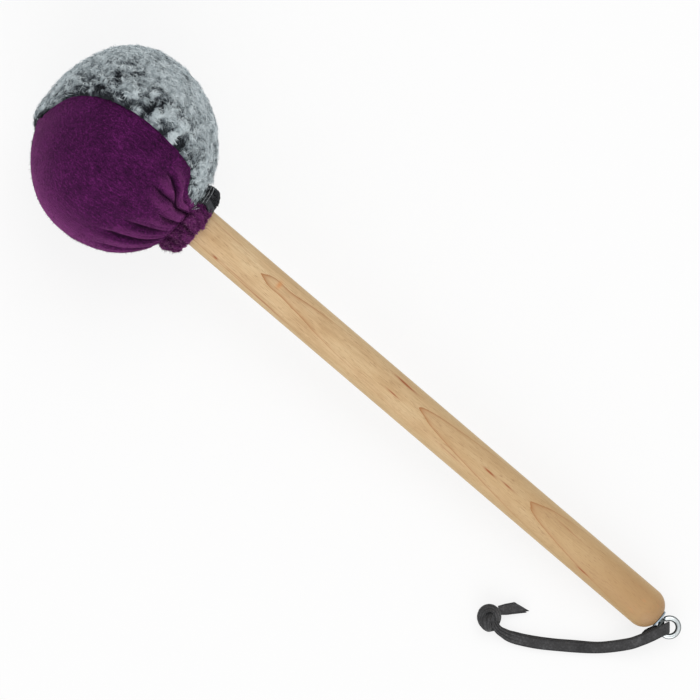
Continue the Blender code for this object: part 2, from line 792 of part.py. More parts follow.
def build():
    """Clears the scene and makes the mallet."""
    for old in list(bpy.data.objects):
        bpy.data.objects.remove(old)

    maple = finish("maple", (0.61, 0.43, 0.22), 0.55)
    hardwood = finish("core_wood", (0.50, 0.33, 0.17), 0.65)
    felt = finish("felt", (0.62, 0.60, 0.55), 0.95)
    wool = finish("wool", (0.85, 0.83, 0.78), 0.95)
    fleece = finish("purple_fleece", (0.090, 0.010, 0.085), 0.9)
    fur = finish("grey_fur", (0.36, 0.39, 0.41), 0.9)
    cord = finish("tie_cord", (0.45, 0.45, 0.48), 0.8)
    zinc = finish("zinc", (0.62, 0.66, 0.70), 0.35, 1.0)
    chrome = finish("bright_wire", (0.80, 0.82, 0.83), 0.15, 1.0)
    leather = finish("lace_leather", (0.052, 0.052, 0.055), 0.8)

    tilt = resting_tilt()
    centre_height = lowest(pile_profile(), tilt) - FLAT_DEPTH
    table = add_empty("table_frame")
    mallet = add_empty("mallet_frame", table, (0, 0, centre_height), tilt)
    eye_height = centre_height - eye_x * math.sin(tilt)
    pivot = add_empty("strap_pivot", table, (eye_x * math.cos(tilt), 0, eye_height))

    rigid = [
        turned("handle", handle_outline(), HANDLE_SIDES, mallet, maple),
        turned("head_core", core_outline(), CORE_SIDES, mallet, hardwood, ring=True),
        turned("core_screw", screw_outline(), HARDWARE_SIDES, mallet, zinc),
        turned(
            "core_washer",
            washer_outline(
                core_washer_front,
                CORE_WASHER_THICKNESS,
                CORE_WASHER_DIAMETER,
                CORE_SCREW_DIAMETER + 2 * SEAT_GAP,
            ),
            HARDWARE_SIDES,
            mallet,
            zinc,
            ring=True,
        ),
        turned(
            "felt_sleeve",
            washer_outline(
                felt_front,
                felt_rear - felt_front,
                2 * felt_radius,
                2 * (core_radius + SEAT_GAP),
            ),
            CORE_SIDES,
            mallet,
            felt,
            ring=True,
        ),
        turned("wool_padding", padding_outline(), CORE_SIDES, mallet, wool),
        turned(
            "butt_washer",
            washer_outline(
                butt_washer_front,
                BUTT_WASHER_THICKNESS,
                BUTT_WASHER_DIAMETER,
                BUTT_WASHER_BORE,
            ),
            HARDWARE_SIDES,
            mallet,
            zinc,
            ring=True,
        ),
        cover_panel(
            "fleece_cover", SEAM_ANGLE - math.pi, FLEECE_RUFFLE_RADIUS, False, mallet, fleece
        ),
        tie_winding(mallet, cord),
        screw_eye(mallet, chrome),
    ]
    fur_cover = cover_panel("fur_cover", SEAM_ANGLE, FUR_RUFFLE_RADIUS, True, mallet, fur)
    rigid.append(fur_cover)

    bm = bmesh.new()
    bmesh.ops.create_cube(
        bm, size=1, matrix=Matrix.Translation((0, 0, -0.01)) @ Matrix.Diagonal((0.16, 0.16, 0.02, 1))
    )
    slab = add_object("table_tool", mesh_from(bm, "table_tool", 0.5), table, None)
    slab.hide_render = True
    slab.display_type = "WIRE"
    flat = fur_cover.modifiers.new("pressed flat", "BOOLEAN")
    flat.operation = "DIFFERENCE"
    flat.object = slab

    lace_fold(pivot, leather)
    lace_run("strap_upper_run", True, eye_height, pivot, leather)
    lace_run("strap_lower_run", False, eye_height, pivot, leather)
    lace_knot(eye_height, pivot, leather)
    lace_tail("strap_upper_tail", True, eye_height, pivot, leather)
    lace_tail("strap_lower_tail", False, eye_height, pivot, leather)

    bpy.context.view_layer.update()
    centre_x, centre_y = footprint_centre(rigid)
    table.location = (-centre_x, -centre_y, 0)
    bpy.context.view_layer.update()
    print(f"tilt {math.degrees(tilt):.3f} degrees, eye at {tuple(pivot.matrix_world.translation)}")
    print(f"ball's centre at {tuple(mallet.matrix_world.translation)}")


build()
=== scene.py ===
"""A gong mallet lying on a white table: maple handle, half fleece and half fur head, leather hanging lace."""
import json
import math

import bpy
import numpy as np
from mathutils import Matrix, Vector


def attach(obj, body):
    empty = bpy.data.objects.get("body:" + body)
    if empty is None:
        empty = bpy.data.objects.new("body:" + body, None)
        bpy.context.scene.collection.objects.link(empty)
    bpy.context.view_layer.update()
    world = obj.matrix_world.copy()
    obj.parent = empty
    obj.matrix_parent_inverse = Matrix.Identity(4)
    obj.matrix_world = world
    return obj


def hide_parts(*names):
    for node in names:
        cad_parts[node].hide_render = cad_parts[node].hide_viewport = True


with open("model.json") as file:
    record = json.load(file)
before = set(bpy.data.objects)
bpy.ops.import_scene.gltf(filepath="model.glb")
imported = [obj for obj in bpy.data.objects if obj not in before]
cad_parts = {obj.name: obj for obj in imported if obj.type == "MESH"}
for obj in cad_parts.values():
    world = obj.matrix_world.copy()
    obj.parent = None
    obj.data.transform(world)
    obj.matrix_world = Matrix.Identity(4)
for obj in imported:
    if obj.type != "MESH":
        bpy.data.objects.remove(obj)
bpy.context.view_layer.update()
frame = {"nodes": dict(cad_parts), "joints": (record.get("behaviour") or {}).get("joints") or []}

mm = 0.001


# The photograph looks straight down on the mallet, from far enough off that nothing is foreshortened.
# The handle runs from the upper left of the picture to the lower right. Long lens, no blur.
def set_out(name, data):
    """An object in the scene for a camera, a mesh or a light."""
    thing = bpy.data.objects.new(name, data)
    bpy.context.collection.objects.link(thing)
    return thing


pixel = 0.4866 * mm
picture_right = Vector((0.7608, 0.6489, 0.0))
picture_up = Vector((-0.6489, 0.7608, 0.0))
view_data = bpy.data.cameras.new("view")
view_data.lens = 1000
view_data.sensor_width = 36
view_data.clip_end = 200
picture_width = 700 * pixel
picture_middle = Vector((-9.65, -2.2, 25.0)) * mm
view_distance = picture_width * view_data.lens / view_data.sensor_width
view = set_out("view", view_data)
view_place = picture_middle + Vector((0, 0, view_distance))
view.matrix_world = Matrix((*zip(picture_right, picture_up, (0, 0, 1), view_place), (0, 0, 0, 1)))
bpy.context.scene.camera = view
bpy.context.scene.view_settings.view_transform = "Standard"


# The lace comes first. It is one strip of charcoal suede leather, 5.4 mm wide, doubled through the eye.
# Its two layers lie one on the other down to the table and on to an overhand knot.
class Tone:
    """A socket of a material's nodes. A sum or product of tones adds the nodes that work it out."""

    def __init__(self, tree, socket=None):
        self.tree = tree
        self.socket = socket

    def node(self, kind, settings=(), sockets=(), output=0):
        """Adds one node: its settings or ramp stops, its sockets' values or links, and the output read."""
        added = self.tree.nodes.new(kind)
        for setting, value in dict(settings).items():
            if setting == "stops":
                ramp = added.color_ramp
                while len(ramp.elements) < len(value):
                    ramp.elements.new(1.0)
                for element, (place, shade) in zip(ramp.elements, value):
                    element.position, element.color = place, (*shade, 1.0)
            else:
                setattr(added, setting, value)
        for socket, value in dict(sockets).items():
            if isinstance(value, Tone):
                self.tree.links.new(value.socket, added.inputs[socket])
            else:
                added.inputs[socket].default_value = value
        return Tone(self.tree, added.outputs[output])

    def maths(self, operation, *values):
        """This tone put through a Math node, with the node's other values."""
        return self.node("ShaderNodeMath", {"operation": operation}, dict(enumerate((self, *values))))

    def __add__(self, other):
        return self.maths("ADD", other)

    def __sub__(self, other):
        return self.maths("SUBTRACT", other)

    def __rsub__(self, other):
        return -self + other

    def __mul__(self, other):
        return self.maths("MULTIPLY", other)

    def __truediv__(self, other):
        return self.maths("DIVIDE", other)

    def __pow__(self, other):
        return self.maths("POWER", other)

    def __neg__(self):
        return self.maths("MULTIPLY", -1.0)

    __radd__ = __add__
    __rmul__ = __mul__

    def clipped(self):
        """The tone held between 0 and 1."""
        return self.node("ShaderNodeClamp", sockets={0: self})

    def noise(self, scale, detail=2.0, roughness=0.5):
        """Soft noise over these coordinates, from 0 to 1."""
        sockets = {"Vector": self, "Scale": scale, "Detail": detail, "Roughness": roughness}
        return self.node("ShaderNodeTexNoise", sockets=sockets)

    def drawn_out(self, x, y, z, detail, roughness):
        """Soft noise with its own scale along each axis, from 0 to 1."""
        sockets = {0: self, 1: (x, y, z)}
        scaled = self.node("ShaderNodeVectorMath", {"operation": "MULTIPLY"}, sockets)
        return scaled.noise(1.0, detail, roughness)

    def part(self, axis):
        """One of the three numbers in these coordinates."""
        return self.node("ShaderNodeSeparateXYZ", sockets={0: self}, output="XYZ".index(axis))

    def noted(self, name):
        """The numbers kept on a mesh's points under a name."""
        return self.node("ShaderNodeAttribute", {"attribute_name": name}, output=2)

    def hill(self):
        """1 where this tone is 0, falling off smoothly to either side."""
        return (-(self * self)).maths("EXPONENT")

    def stained(self, *layers):
        """This colour with shades laid over it in turn, each as strongly as its tone says, from 0 to 1."""
        colour = self
        for strength, shade in layers:
            sockets = {0: strength, 6: colour, 7: (*shade, 1.0)}
            colour = self.node("ShaderNodeMix", {"data_type": "RGBA"}, sockets, output=2)
        return colour

    def ramp(self, *stops):
        """A colour read from stops along 0 to 1."""
        return self.node("ShaderNodeValToRGB", {"stops": stops}, {0: self})


def new_finish(name):
    """A material, and its piece's own coordinates, from which its tones are worked out."""
    material = bpy.data.materials.new(name)
    material.use_nodes = True
    tree = material.node_tree
    tree.nodes.clear()
    output = tree.nodes.new("ShaderNodeOutputMaterial")
    shader = tree.nodes.new("ShaderNodeBsdfPrincipled")
    tree.links.new(shader.outputs[0], output.inputs["Surface"])
    return material, Tone(tree).node("ShaderNodeTexCoord", output=3)


def shader_of(material):
    """The shader of a material that new_finish made."""
    return material.node_tree.nodes["Principled BSDF"]


def finish_with(material, colour, roughness, height=None, strength=0.3, depth=0.0002, metallic=0.0):
    """Sets a material's colour, roughness, metal and relief."""
    shader = shader_of(material)
    for socket, value in (("Base Color", colour), ("Roughness", roughness), ("Metallic", metallic)):
        if isinstance(value, Tone):
            value.tree.links.new(value.socket, shader.inputs[socket])
        else:
            shader.inputs[socket].default_value = value
    if height:
        relief = {"Strength": strength, "Distance": depth, "Height": height}
        bump = height.node("ShaderNodeBump", sockets=relief)
        height.tree.links.new(bump.socket, shader.inputs["Normal"])


def soften(material, shine, sheen=0.0, sheen_spread=0.5, sheen_tint=(1.0, 1.0, 1.0)):
    """Sets how little a soft finish shines, and the sheen of its standing fibres."""
    settings = {"Specular IOR Level": shine, "Sheen Weight": sheen, "Sheen Roughness": sheen_spread}
    for socket, value in (*settings.items(), ("Sheen Tint", (*sheen_tint, 1.0))):
        shader_of(material).inputs[socket].default_value = value


def add_piece(name, points, faces, finish, sharp=180, body="mallet"):
    """Makes a piece's mesh from its points and faces, and rides it on a body.

    sharp is the angle between two faces, in degrees, from which their edge stays sharp.
    """
    mesh = bpy.data.meshes.new(name)
    mesh.from_pydata(np.asarray(points).tolist(), [], [list(face) for face in faces])
    mesh.shade_smooth()
    if sharp < 180:
        mesh.set_sharp_from_angle(angle=math.radians(sharp))
    mesh.materials.append(finish)
    piece = set_out(name, mesh)
    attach(piece, body)
    return piece


def note(piece, name, values):
    """Keeps one number a point on a piece's mesh, for its material."""
    attribute = piece.data.attributes.new(name, "FLOAT", "POINT")
    attribute.data.foreach_set("value", np.asarray(values, dtype=np.float32).ravel())


def tube_faces(rings, sides):
    """Faces between rings of points, each joined round, with a face at each end."""
    faces = []
    for ring in range(rings - 1):
        for s in range(sides):
            t = (s + 1) % sides
            a, b = ring * sides, (ring + 1) * sides
            faces.append((a + s, a + t, b + t, b + s))
    faces.append(tuple(range(sides - 1, -1, -1)))
    faces.append(tuple(range((rings - 1) * sides, rings * sides)))
    return faces


def eased(value, start=0.0, over=1.0):
    """Runs smoothly from 0, where a value is at its start, to 1, where it is so much over it."""
    t = np.clip((value - start) / over, 0.0, 1.0)
    return t * t * (3 - 2 * t)


def hill(value):
    """1 at 0, falling off smoothly to either side."""
    return np.exp(-(value**2))


def travelled_along(line):
    """How far along a line of points each one is."""
    return np.concatenate([[0], np.cumsum(np.linalg.norm(np.diff(line, axis=0), axis=1))])


def smooth_line(points, count):
    """Points spaced evenly along a smooth curve through the given ones."""
    points = np.asarray(points, dtype=float)
    ends = np.vstack([2 * points[0] - points[1], points, 2 * points[-1] - points[-2]])
    t = np.arange(20)[:, None] / 20
    fine = []
    for before, start, end, after in zip(ends, ends[1:], ends[2:], ends[3:]):
        bow = 2 * before - 5 * start + 4 * end - after
        turn_over = 3 * start - before - 3 * end + after
        fine.extend(0.5 * (2 * start + (end - before) * t + bow * t**2 + turn_over * t**3))
    fine = np.array([*fine, points[-1]])
    travelled = travelled_along(fine)
    stops = np.linspace(0, travelled[-1], count)
    return np.column_stack([np.interp(stops, travelled, numbers) for numbers in fine.T])


def unit(vectors):
    """Vectors of length one, the same way as the given ones."""
    return vectors / np.linalg.norm(vectors, axis=-1, keepdims=True)


def directions(line):
    """The direction of travel at each point of a line."""
    return unit(np.gradient(line, axis=0))


def squared_to(vectors, ways):
    """Vectors with the part of them that runs along some unit vectors taken out."""
    return vectors - ways * np.sum(vectors * ways, axis=1, keepdims=True)


def lace_strip(name, line, across, widths, thickness, slants=0.0, creases=0.0):
    """Sweeps the lace's section, a strip with rounded edges and a slightly cupped face, along a line.

    slants carries one edge of the lace ahead of the other at each point, creases says how creased it is.
    """
    along = directions(line)
    across = unit(squared_to(across, along))
    face = np.cross(along, across) * thickness / 2
    turn = 2 * np.pi * np.arange(lace_sides) / lace_sides
    out = np.sign(np.cos(turn)) * np.abs(np.cos(turn)) ** 0.42
    rise = np.sign(np.sin(turn)) * np.abs(np.sin(turn)) ** 0.62
    rise -= 0.16 * (1 - out**2) * np.where(rise > 0, 1, 0)
    waver = 1 + 0.012 * np.sin(0.31 * np.arange(len(line)) + 1)
    side = across * (widths * waver / 2)[:, None] + slants
    rings = line[:, None] + out[:, None] * side[:, None] + rise[:, None] * face[:, None]
    faces = tube_faces(len(line), lace_sides)
    piece = add_piece(name, rings.reshape(-1, 3), faces, suede, 50, "strap")
    # Marks the strip's edges, which are painted darker: partly the cut edge's own colour, partly painted
    # shade where the rounded edges turn away.
    note(piece, "cut_edge", np.tile(eased((np.abs(out) - 0.72) / 0.2), len(line)))
    note(piece, "across_lace", np.tile(out, len(line)))
    note(piece, "creased", np.repeat(np.broadcast_to(creases, len(line)), lace_sides))
    return piece


suede, place = new_finish("charcoal_suede")
cut_edge = place.noted("cut_edge")
across_lace = place.noted("across_lace")
creased = place.noted("creased")
nap = place.noise(900, 3, 0.65)
blotch = place.noise(160)
grain = place.noise(2600, 2, 0.6)
suede_face = (nap * 0.55 + blotch * 0.45).ramp(
    (0.32, (0.026, 0.026, 0.027)), (0.52, (0.050, 0.050, 0.052)), (0.68, (0.092, 0.092, 0.096))
)
# The creases are painted nearly black, as painted shade in the folds, on top of their relief.
crease_way = across_lace + (blotch - 0.5) * 0.35
crease = (((crease_way - 0.30) * 9.0).hill() + ((crease_way + 0.38) * 8.0).hill()) * creased
# The lace is painted darker along its edges: partly its cut edges' own colour, partly painted shade.
suede_colour = suede_face.stained(
    (cut_edge * 0.75, (0.016, 0.016, 0.017)), (crease * 0.95, (0.010, 0.010, 0.011))
)
suede_relief = nap * 0.6 + grain * 0.4 - crease * 2.5
finish_with(suede, suede_colour, 0.82 + nap * 0.15, suede_relief, 0.5, 0.00025)
soften(suede, 0.25, 0.20)


def level_way(degrees):
    """The level direction that is so many degrees round from the row's x."""
    return np.array((math.cos(math.radians(degrees)), math.sin(math.radians(degrees)), 0.0))


def left_of(way):
    """The level direction to the left of another one."""
    return np.array((-way[1], way[0], 0.0))


eye = Vector(frame["joints"][0]["pos_m"])
lace_sides = 16
lace_width = 5.4 * mm
lace_thickness = 1.3 * mm
layer_step = lace_thickness + 0.45 * mm
table_lift = 0.2 * mm
eye_ring_radius = 4.45 * mm
fold_reach = 3.5 * mm + lace_thickness / 2
fold_height = 2.3 * mm + lace_thickness / 2
fall_length, climb_length = 34 * mm, 14 * mm
lace_heading = level_way(-115)
lace_route = mm * np.array([
    (-4.1, -9.3), (-6.5, -14.1), (-9.9, -19.5), (-18.7, -29.2), (-28.4, -37.0), (-40.6, -45.7),
    (-49.6, -51.1), (-55.6, -53.9), (-59.0, -54.7),
])
knot_centre = np.array((-70.0, -53.7, 5.5)) * mm
knot_way = level_way(40.5)
knot_spin = np.array((knot_way, left_of(knot_way), (0, 0, 1)))


def from_eye(points):
    """Points measured from the eye's centre in plan and from the table in height, in the row's frame."""
    return np.asarray(points) + np.array((eye.x, eye.y, 0.0))


def at_knot(points):
    """Points in millimetres from the knot's middle, turned with it, as measured from the eye."""
    return np.asarray(points) * mm @ knot_spin + knot_centre


knot_entry, inside_knot, knot_exit = at_knot(((4.6, -5.7, -1.6), (2.0, -1.8, 0.0), (5.0, 3.6, -1.8)))
lace_start = lace_heading * (eye_ring_radius + 0.5 * mm)
plan = smooth_line([lace_start[:2], *lace_route, knot_entry[:2], inside_knot[:2]], 90)
travelled = travelled_along(plan)
still_to_go = travelled[-1] - travelled
widths = lace_width - 1.7 * mm * eased(1 - (still_to_go - 3 * mm) / (12 * mm))
creases = eased(1 - (still_to_go - 6 * mm) / (16 * mm))
for node, name, layer in (("strap_upper_run", "upper_lace", 1), ("strap_lower_run", "lower_lace", 0)):
    at_eye = eye.z + (2 * layer - 1) * fold_height
    on_table = table_lift + lace_thickness / 2 + layer * layer_step
    on_knot = knot_entry[2] + (layer - 0.5) * layer_step + 1.8 * mm
    heights = at_eye + (on_table - at_eye) * eased(travelled / fall_length)
    heights += (on_knot - on_table) * eased(1 - still_to_go / climb_length)
    line = from_eye(np.column_stack([plan, heights]))
    along = directions(line)
    level = np.column_stack([-along[:, 1], along[:, 0], 0 * travelled])
    if name == "lower_lace":
        peeping = 1.1 * mm * eased(travelled / (2 * mm)) * (1 - eased((travelled - 5.5 * mm) / (3 * mm)))
        peeping += 0.35 * mm + 0.4 * mm * eased((travelled - 28 * mm) / (20 * mm))
        line -= level * (peeping * (0.3 + 0.7 * eased(still_to_go / (16 * mm))))[:, None]
    run = lace_strip(name, line, level, widths, lace_thickness, creases=creases)
    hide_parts(node)

turns = np.linspace(math.pi / 2, -math.pi / 2, 40)
fold_line = (
    np.array(eye)
    + lace_heading * (eye_ring_radius - fold_reach * np.cos(turns))[:, None]
    + np.array((0, 0, 1)) * (fold_height * np.sin(turns))[:, None]
)
fold_end = lace_heading * 1.6 * mm
fold_line = np.vstack([fold_line[0] + fold_end, fold_line, fold_line[-1] + fold_end])
fold_slants = lace_heading * (1.25 * mm * np.sin(np.linspace(0, np.pi, len(fold_line))))[:, None]
fold_thickness = lace_thickness * 0.96
fold = lace_strip("lace_fold", fold_line, left_of(lace_heading), lace_width, fold_thickness, fold_slants)
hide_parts("strap_fold")

# The overhand knot is the doubled lace passed round itself and drawn tight, so that its bands
# cross over a solid middle. The two tails leave it side by side, cut off on a slant.
around_knot = np.radians((-75, -40, 0, 40, 75, 110, 145, 180, 215, 240))
ring_heights = (-2.1, -1.5, 0.7, 2.3, 3.0, 3.2, 2.9, 1.6, -0.2, -1.4)
ring_route = np.column_stack([0.4 + 4.2 * np.cos(around_knot), 0.1 + 4.8 * np.sin(around_knot), ring_heights])
front_route = (
    (1.2, 3.0, -1.8), (0.3, 2.5, -0.4), (-0.8, 1.4, 2.0), (-1.6, -0.8, 3.7), (-1.6, -3.0, 3.7),
    (-0.8, -5.0, 2.5), (0.5, -6.0, 0.4), (1.9, -5.8, -1.6),
)
heart_route = ((0.2, -5.2, -0.7), (0.0, -2.5, -0.6), (0.1, 0.5, -0.6), (0.5, 3.0, -0.8), (0.9, 5.0, -1.0))
shares = np.linspace(0, 1, 60)
front_width = 6.4 - 3.52 * eased(shares, 0.46, 0.40)
heart_width = 7.4 * np.sin((0.22 + 0.56 * shares) * math.pi)
for name, route, width, thick, facing_out, facing_up, under in (
    ("knot_ring_band", ring_route, 4.1, 1.5, 0.721, 0.62, 0),
    ("knot_ring_under_band", ring_route, 4.1, 1.5, 0.721, 0.62, 1),
    ("knot_front_band", front_route, front_width, 1.5, 1.0, 0.0, 0),
    ("knot_front_under_band", front_route, front_width, 1.5, 1.0, 0.0, 1),
    ("knot_heart", heart_route, heart_width, 5.6, 0.0, 1.0, 0),
):
    line = smooth_line(route, 60)
    along = directions(line)
    outward = unit(line - np.array((0.2, 0.0, -0.8))) * facing_out + np.array((0.0, 0.0, facing_up))
    across = unit(np.cross(along, outward))
    line = line + under * (across * 0.75 - np.cross(across, along) * 1.35)
    level = across @ knot_spin
    band = lace_strip(name, from_eye(at_knot(line)), level, width * mm, thick * mm, creases=0.7)
    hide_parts("strap_knot")
for node, name, layer, heading, length, slant in (
    ("strap_upper_tail", "upper_tail", 1, 50, 11.5, -3.3),
    ("strap_lower_tail", "lower_tail", 0, 47.5, 11.1, -2.4),
):
    tail_along = level_way(heading)
    shares = np.linspace(0, 1, 24)
    line = from_eye(knot_exit) + tail_along * (shares * length * mm)[:, None]
    on_knot = knot_exit[2] + (layer - 0.5) * layer_step
    on_table = table_lift + lace_thickness / 2 + layer * layer_step
    line[:, 2] = on_knot + (on_table - on_knot) * eased(shares / 0.7)
    widths = 4.6 * mm + 0.9 * mm * eased(shares / 0.4)
    slants = tail_along * (slant * mm * np.clip((shares - 0.4) / 0.6, 0, 1) ** 1.4)[:, None]
    tail = lace_strip(name, line, left_of(tail_along), widths, lace_thickness, slants)
    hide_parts(node)


# The handle is a straight stick of hard maple, 20 mm through, turned round at the butt, sanded and oiled.
# It was cut so that its growth rings come up in long pointed arches, with small brown mineral streaks.
tilt = math.radians(7.082)
eye_x = 353.59 * mm
lie = Matrix.Translation(eye) @ Matrix.Rotation(tilt, 4, "Y") @ Matrix.Translation((-eye_x, 0, 0))
ball_centre = lie.translation
lie_turn = np.array(lie.to_3x3())


def laid(points):
    """Points of the mallet's own frame, in millimetres from the ball's centre, as it lies on the table."""
    return np.asarray(points) * mm @ lie_turn.T + np.array(ball_centre)


def pressed(points):
    """Points in the row's frame, with what would go below the table pressed flat on it."""
    points = np.array(points)
    low = points[:, 2] < 1.5 * mm
    points[low, 2] = 0.15 * mm + 1.35 * mm * np.exp((points[low, 2] - 1.5 * mm) / (1.35 * mm))
    return points


def about_axis(along, radius, around):
    """Points by their place along the handle's axis, how far they are from it and their angle round it."""
    return np.stack(np.broadcast_arrays(along, radius * np.sin(around), radius * np.cos(around)), axis=-1)


def turned_piece(name, outline, sides, finish, sharp=35):
    """Turns an outline of (x, radius) in millimetres about the handle's axis, closed at its ends."""
    turn = 2 * np.pi * np.arange(sides) / sides
    rings = np.concatenate([about_axis(x_place, radius, turn) for x_place, radius in outline])
    return add_piece(name, laid(rings), tube_faces(len(outline), sides), finish, sharp)


def along_mallet(place):
    """Coordinates in the mallet's own frame, for a material."""
    sockets = {"Vector": place, "Location": tuple(ball_centre), "Rotation": (0.0, tilt, 0.0)}
    return place.node("ShaderNodeMapping", {"vector_type": "TEXTURE"}, sockets)


maple, place = new_finish("maple")
spot = along_mallet(place)
x, y, z = spot.part("X"), spot.part("Y"), spot.part("Z")
wander = spot.drawn_out(11, 70, 70, 3, 0.55) - 0.5
past_knot = x - 0.0876
layer = (z * 0.9755 + y * 0.22 - 0.010) / 0.0050
from_knot = (x - 0.0955) / 0.0055
beside_knot = (y - 0.0032) / 0.0050
knot_swell = from_knot.hill() * beside_knot.hill()
ring = past_knot * 5.693 + past_knot * past_knot * 33.8 + layer + wander * 0.42 + knot_swell * 0.075
ring_share = ring.maths("FRACT")
late_wood = (ring_share * -30.0).maths("EXPONENT") * 0.95 + (ring_share * -12.0).maths("EXPONENT") * 0.22
late_wood = late_wood + (1.0 - ring_share) ** 3.5 * 0.05
dying = 1.0 - ((ring - 2.62) * 5.0).clipped()
thin_ring = ((ring * 5.0 + wander * 1.5).maths("FRACT") * -7.0).maths("EXPONENT")
edge = ((y.maths("ABSOLUTE") * 1000 - 6.2) / 3.6).clipped()
fibre = spot.drawn_out(28, 900, 900, 4, 0.6)
fine_fibre = spot.drawn_out(90, 3600, 3600, 2, 0.6)
cloud = spot.drawn_out(45, 120, 120, 3, 0.6)
pores = spot.drawn_out(260, 3400, 3400, 1, 0.5)
flecks = ((spot.drawn_out(220, 420, 420, 2, 0.5) - 0.56) * 6.0).clipped() * ((x - 0.322) / 0.012).clipped()
faint_start = 1.0 - ((x - 0.118) / 0.03).clipped() * (1.0 - ring).clipped() * 0.8


def streak_along(streak_x, streak_y, half_length, half_width, depth):
    """How strongly one short streak shows on the handle's upper side, its sizes in millimetres."""
    off_x, off_y = x - streak_x * mm, y - streak_y * mm
    far_x = off_x / (half_length * mm)
    far_y = (off_y + off_x * 0.03 + wander * 0.0012) / (half_width * 1.25 * mm)
    return far_x.hill() * far_y.hill() * depth * z.maths("GREATER_THAN", 0.0)


streaks = 0.0
for one in (
    (176.5, 6.9, 6.0, 0.30, 1.1), (174.5, -0.6, 3.6, 0.28, 0.85), (235.5, 0.7, 3.2, 0.34, 1.1),
    (246.6, 1.2, 3.6, 0.30, 0.75), (302.0, -6.5, 3.6, 0.28, 0.85), (65.5, -6.3, 1.6, 0.28, 0.9),
    (97.0, -7.7, 13.0, 0.22, 0.55), (79.0, -6.3, 12.0, 0.18, 0.40), (62.0, 6.3, 16.0, 0.20, 0.35),
    (214.0, -4.8, 8.0, 0.20, 0.4), (284.0, 4.4, 9.0, 0.20, 0.35),
):
    streaks = streaks + streak_along(*one)
bare_wood = (fibre * 0.40 + cloud * 0.60).ramp(
    (0.32, (0.530, 0.335, 0.162)), (0.48, (0.650, 0.448, 0.240)), (0.66, (0.725, 0.540, 0.312))
)
wood = bare_wood.stained(
    (((x - 0.08) / 0.26).clipped() * 0.70, (0.470, 0.290, 0.120)),
    (((x - 0.290) / 0.040).clipped() * 0.75, (0.420, 0.235, 0.090)),
    (flecks * 0.45, (0.560, 0.240, 0.085)),
    (late_wood * dying * faint_start, (0.385, 0.145, 0.035)),
    (thin_ring * (0.20 + 0.60 * edge), (0.400, 0.225, 0.090)),
    ((fine_fibre - 0.48) * 2.5, (0.420, 0.255, 0.110)),
    ((pores - 0.60) * 6.0, (0.360, 0.190, 0.075)),
    # Painted shade and tint: the handle's two sides, beyond 6.2 mm from its middle, are painted darker and
    # yellower where the round stick turns away.
    (edge * 0.42, (0.560, 0.400, 0.180)),
    (streak_along(97.8, 3.5, 1.2, 1.6, 0.85), (0.620, 0.265, 0.085)),
    (streaks * 1.3, (0.330, 0.082, 0.013)),
    # Painted shade: the butt end is painted darker from 337 mm on, most on its -y side.
    (((x - 0.3370) / 0.0090).clipped() * (0.64 - y * 32.0), (0.270, 0.150, 0.062)),
)
finish_with(maple, wood, 0.50 + fibre * 0.14, fibre * 0.5 + pores * 0.5, 0.22, 0.00015)
shader_of(maple).inputs["Coat Weight"].default_value = 0.12
shader_of(maple).inputs["Coat Roughness"].default_value = 0.35

butt_end, butt_rounding, handle_radius = 346.3, 9.3, 10.0
rounding = [math.acos(0.48) * k / 16 for k in range(17)]
rounding_start = butt_end - butt_rounding * math.sin(rounding[-1])
handle_outline = [
    (-18.0, handle_radius - 1), (-17.0, handle_radius),
    *((x_place, handle_radius) for x_place in range(0, 321, 16)),
    *((rounding_start + butt_rounding * math.sin(a), handle_radius * math.cos(a)) for a in rounding),
    (butt_end, 1.8), (butt_end - 3, 1.75),
]
handle = turned_piece("turned_handle", handle_outline, 128, maple)
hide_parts("handle")

# A small bright zinc washer lies flat on the butt, under the screw eye.
zinc, place = new_finish("bright_zinc")
spangle = place.noise(1400)
scuff = place.drawn_out(300, 2200, 600, 3, 0.6)
zinc_colour = (spangle * 0.5 + scuff * 0.5).ramp(
    (0.3, (0.18, 0.23, 0.28)), (0.6, (0.36, 0.43, 0.49)), (0.8, (0.58, 0.64, 0.68))
)
finish_with(zinc, zinc_colour, 0.26 + scuff * 0.22, scuff, 0.15, 0.0001, 1.0)

washer_front, washer_bore, washer_radius, washer_edge = butt_end + 0.32, 2.2, 4.5, 0.12
washer_rear = washer_front + 0.80
washer_outline = [
    (washer_front, washer_bore), (washer_front, washer_radius - washer_edge),
    (washer_front + washer_edge, washer_radius), (washer_rear - washer_edge, washer_radius),
    (washer_rear, washer_radius - washer_edge), (washer_rear, washer_bore),
]
washer = turned_piece("zinc_washer", washer_outline, 96, zinc, 30)
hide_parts("butt_washer")

# The screw eye is bright plated steel wire, 2.8 mm thick, bent into a ring that is left a little open,
# and screwed into the butt through the washer.
wire, place = new_finish("bright_wire")
draw_marks = place.noise(1200, 3, 0.6)
tarnish = place.noise(260)
sideways = place.noted("sideways")
# The wire is painted dark on the flanks of its section and where the lace lies on it: painted reflection and
# painted shadow.
wire_colour = (tarnish * 0.6 + draw_marks * 0.4).ramp(
    (0.3, (0.38, 0.42, 0.43)), (0.55, (0.62, 0.66, 0.67)), (0.8, (0.80, 0.83, 0.83))
).stained((sideways, (0.055, 0.062, 0.060)))
finish_with(wire, wire_colour, 0.13 + draw_marks * 0.16, draw_marks, 0.1, 0.00008, 1.0)


def tube_points(line, radii, sides):
    """Rings of points round a line, with their own radius at each point of it."""
    along = directions(line)
    side = np.zeros_like(line)
    guess = np.array((0.31, 0.42, 0.85))
    for k in range(len(line)):
        guess = unit(guess - along[k] * np.dot(guess, along[k]))
        side[k] = guess
    turn = 2 * np.pi * np.arange(sides)[:, None] / sides
    spokes = np.cos(turn) * side[:, None] + np.sin(turn) * np.cross(along, side)[:, None]
    return (line[:, None] + spokes * np.broadcast_to(radii, len(line))[:, None, None]).reshape(-1, 3)


def swept_tube(name, line, radii, sides, finish):
    """A round tube along a line of points in the row's frame."""
    return add_piece(name, tube_points(line, radii, sides), tube_faces(len(line), sides), finish, 50)


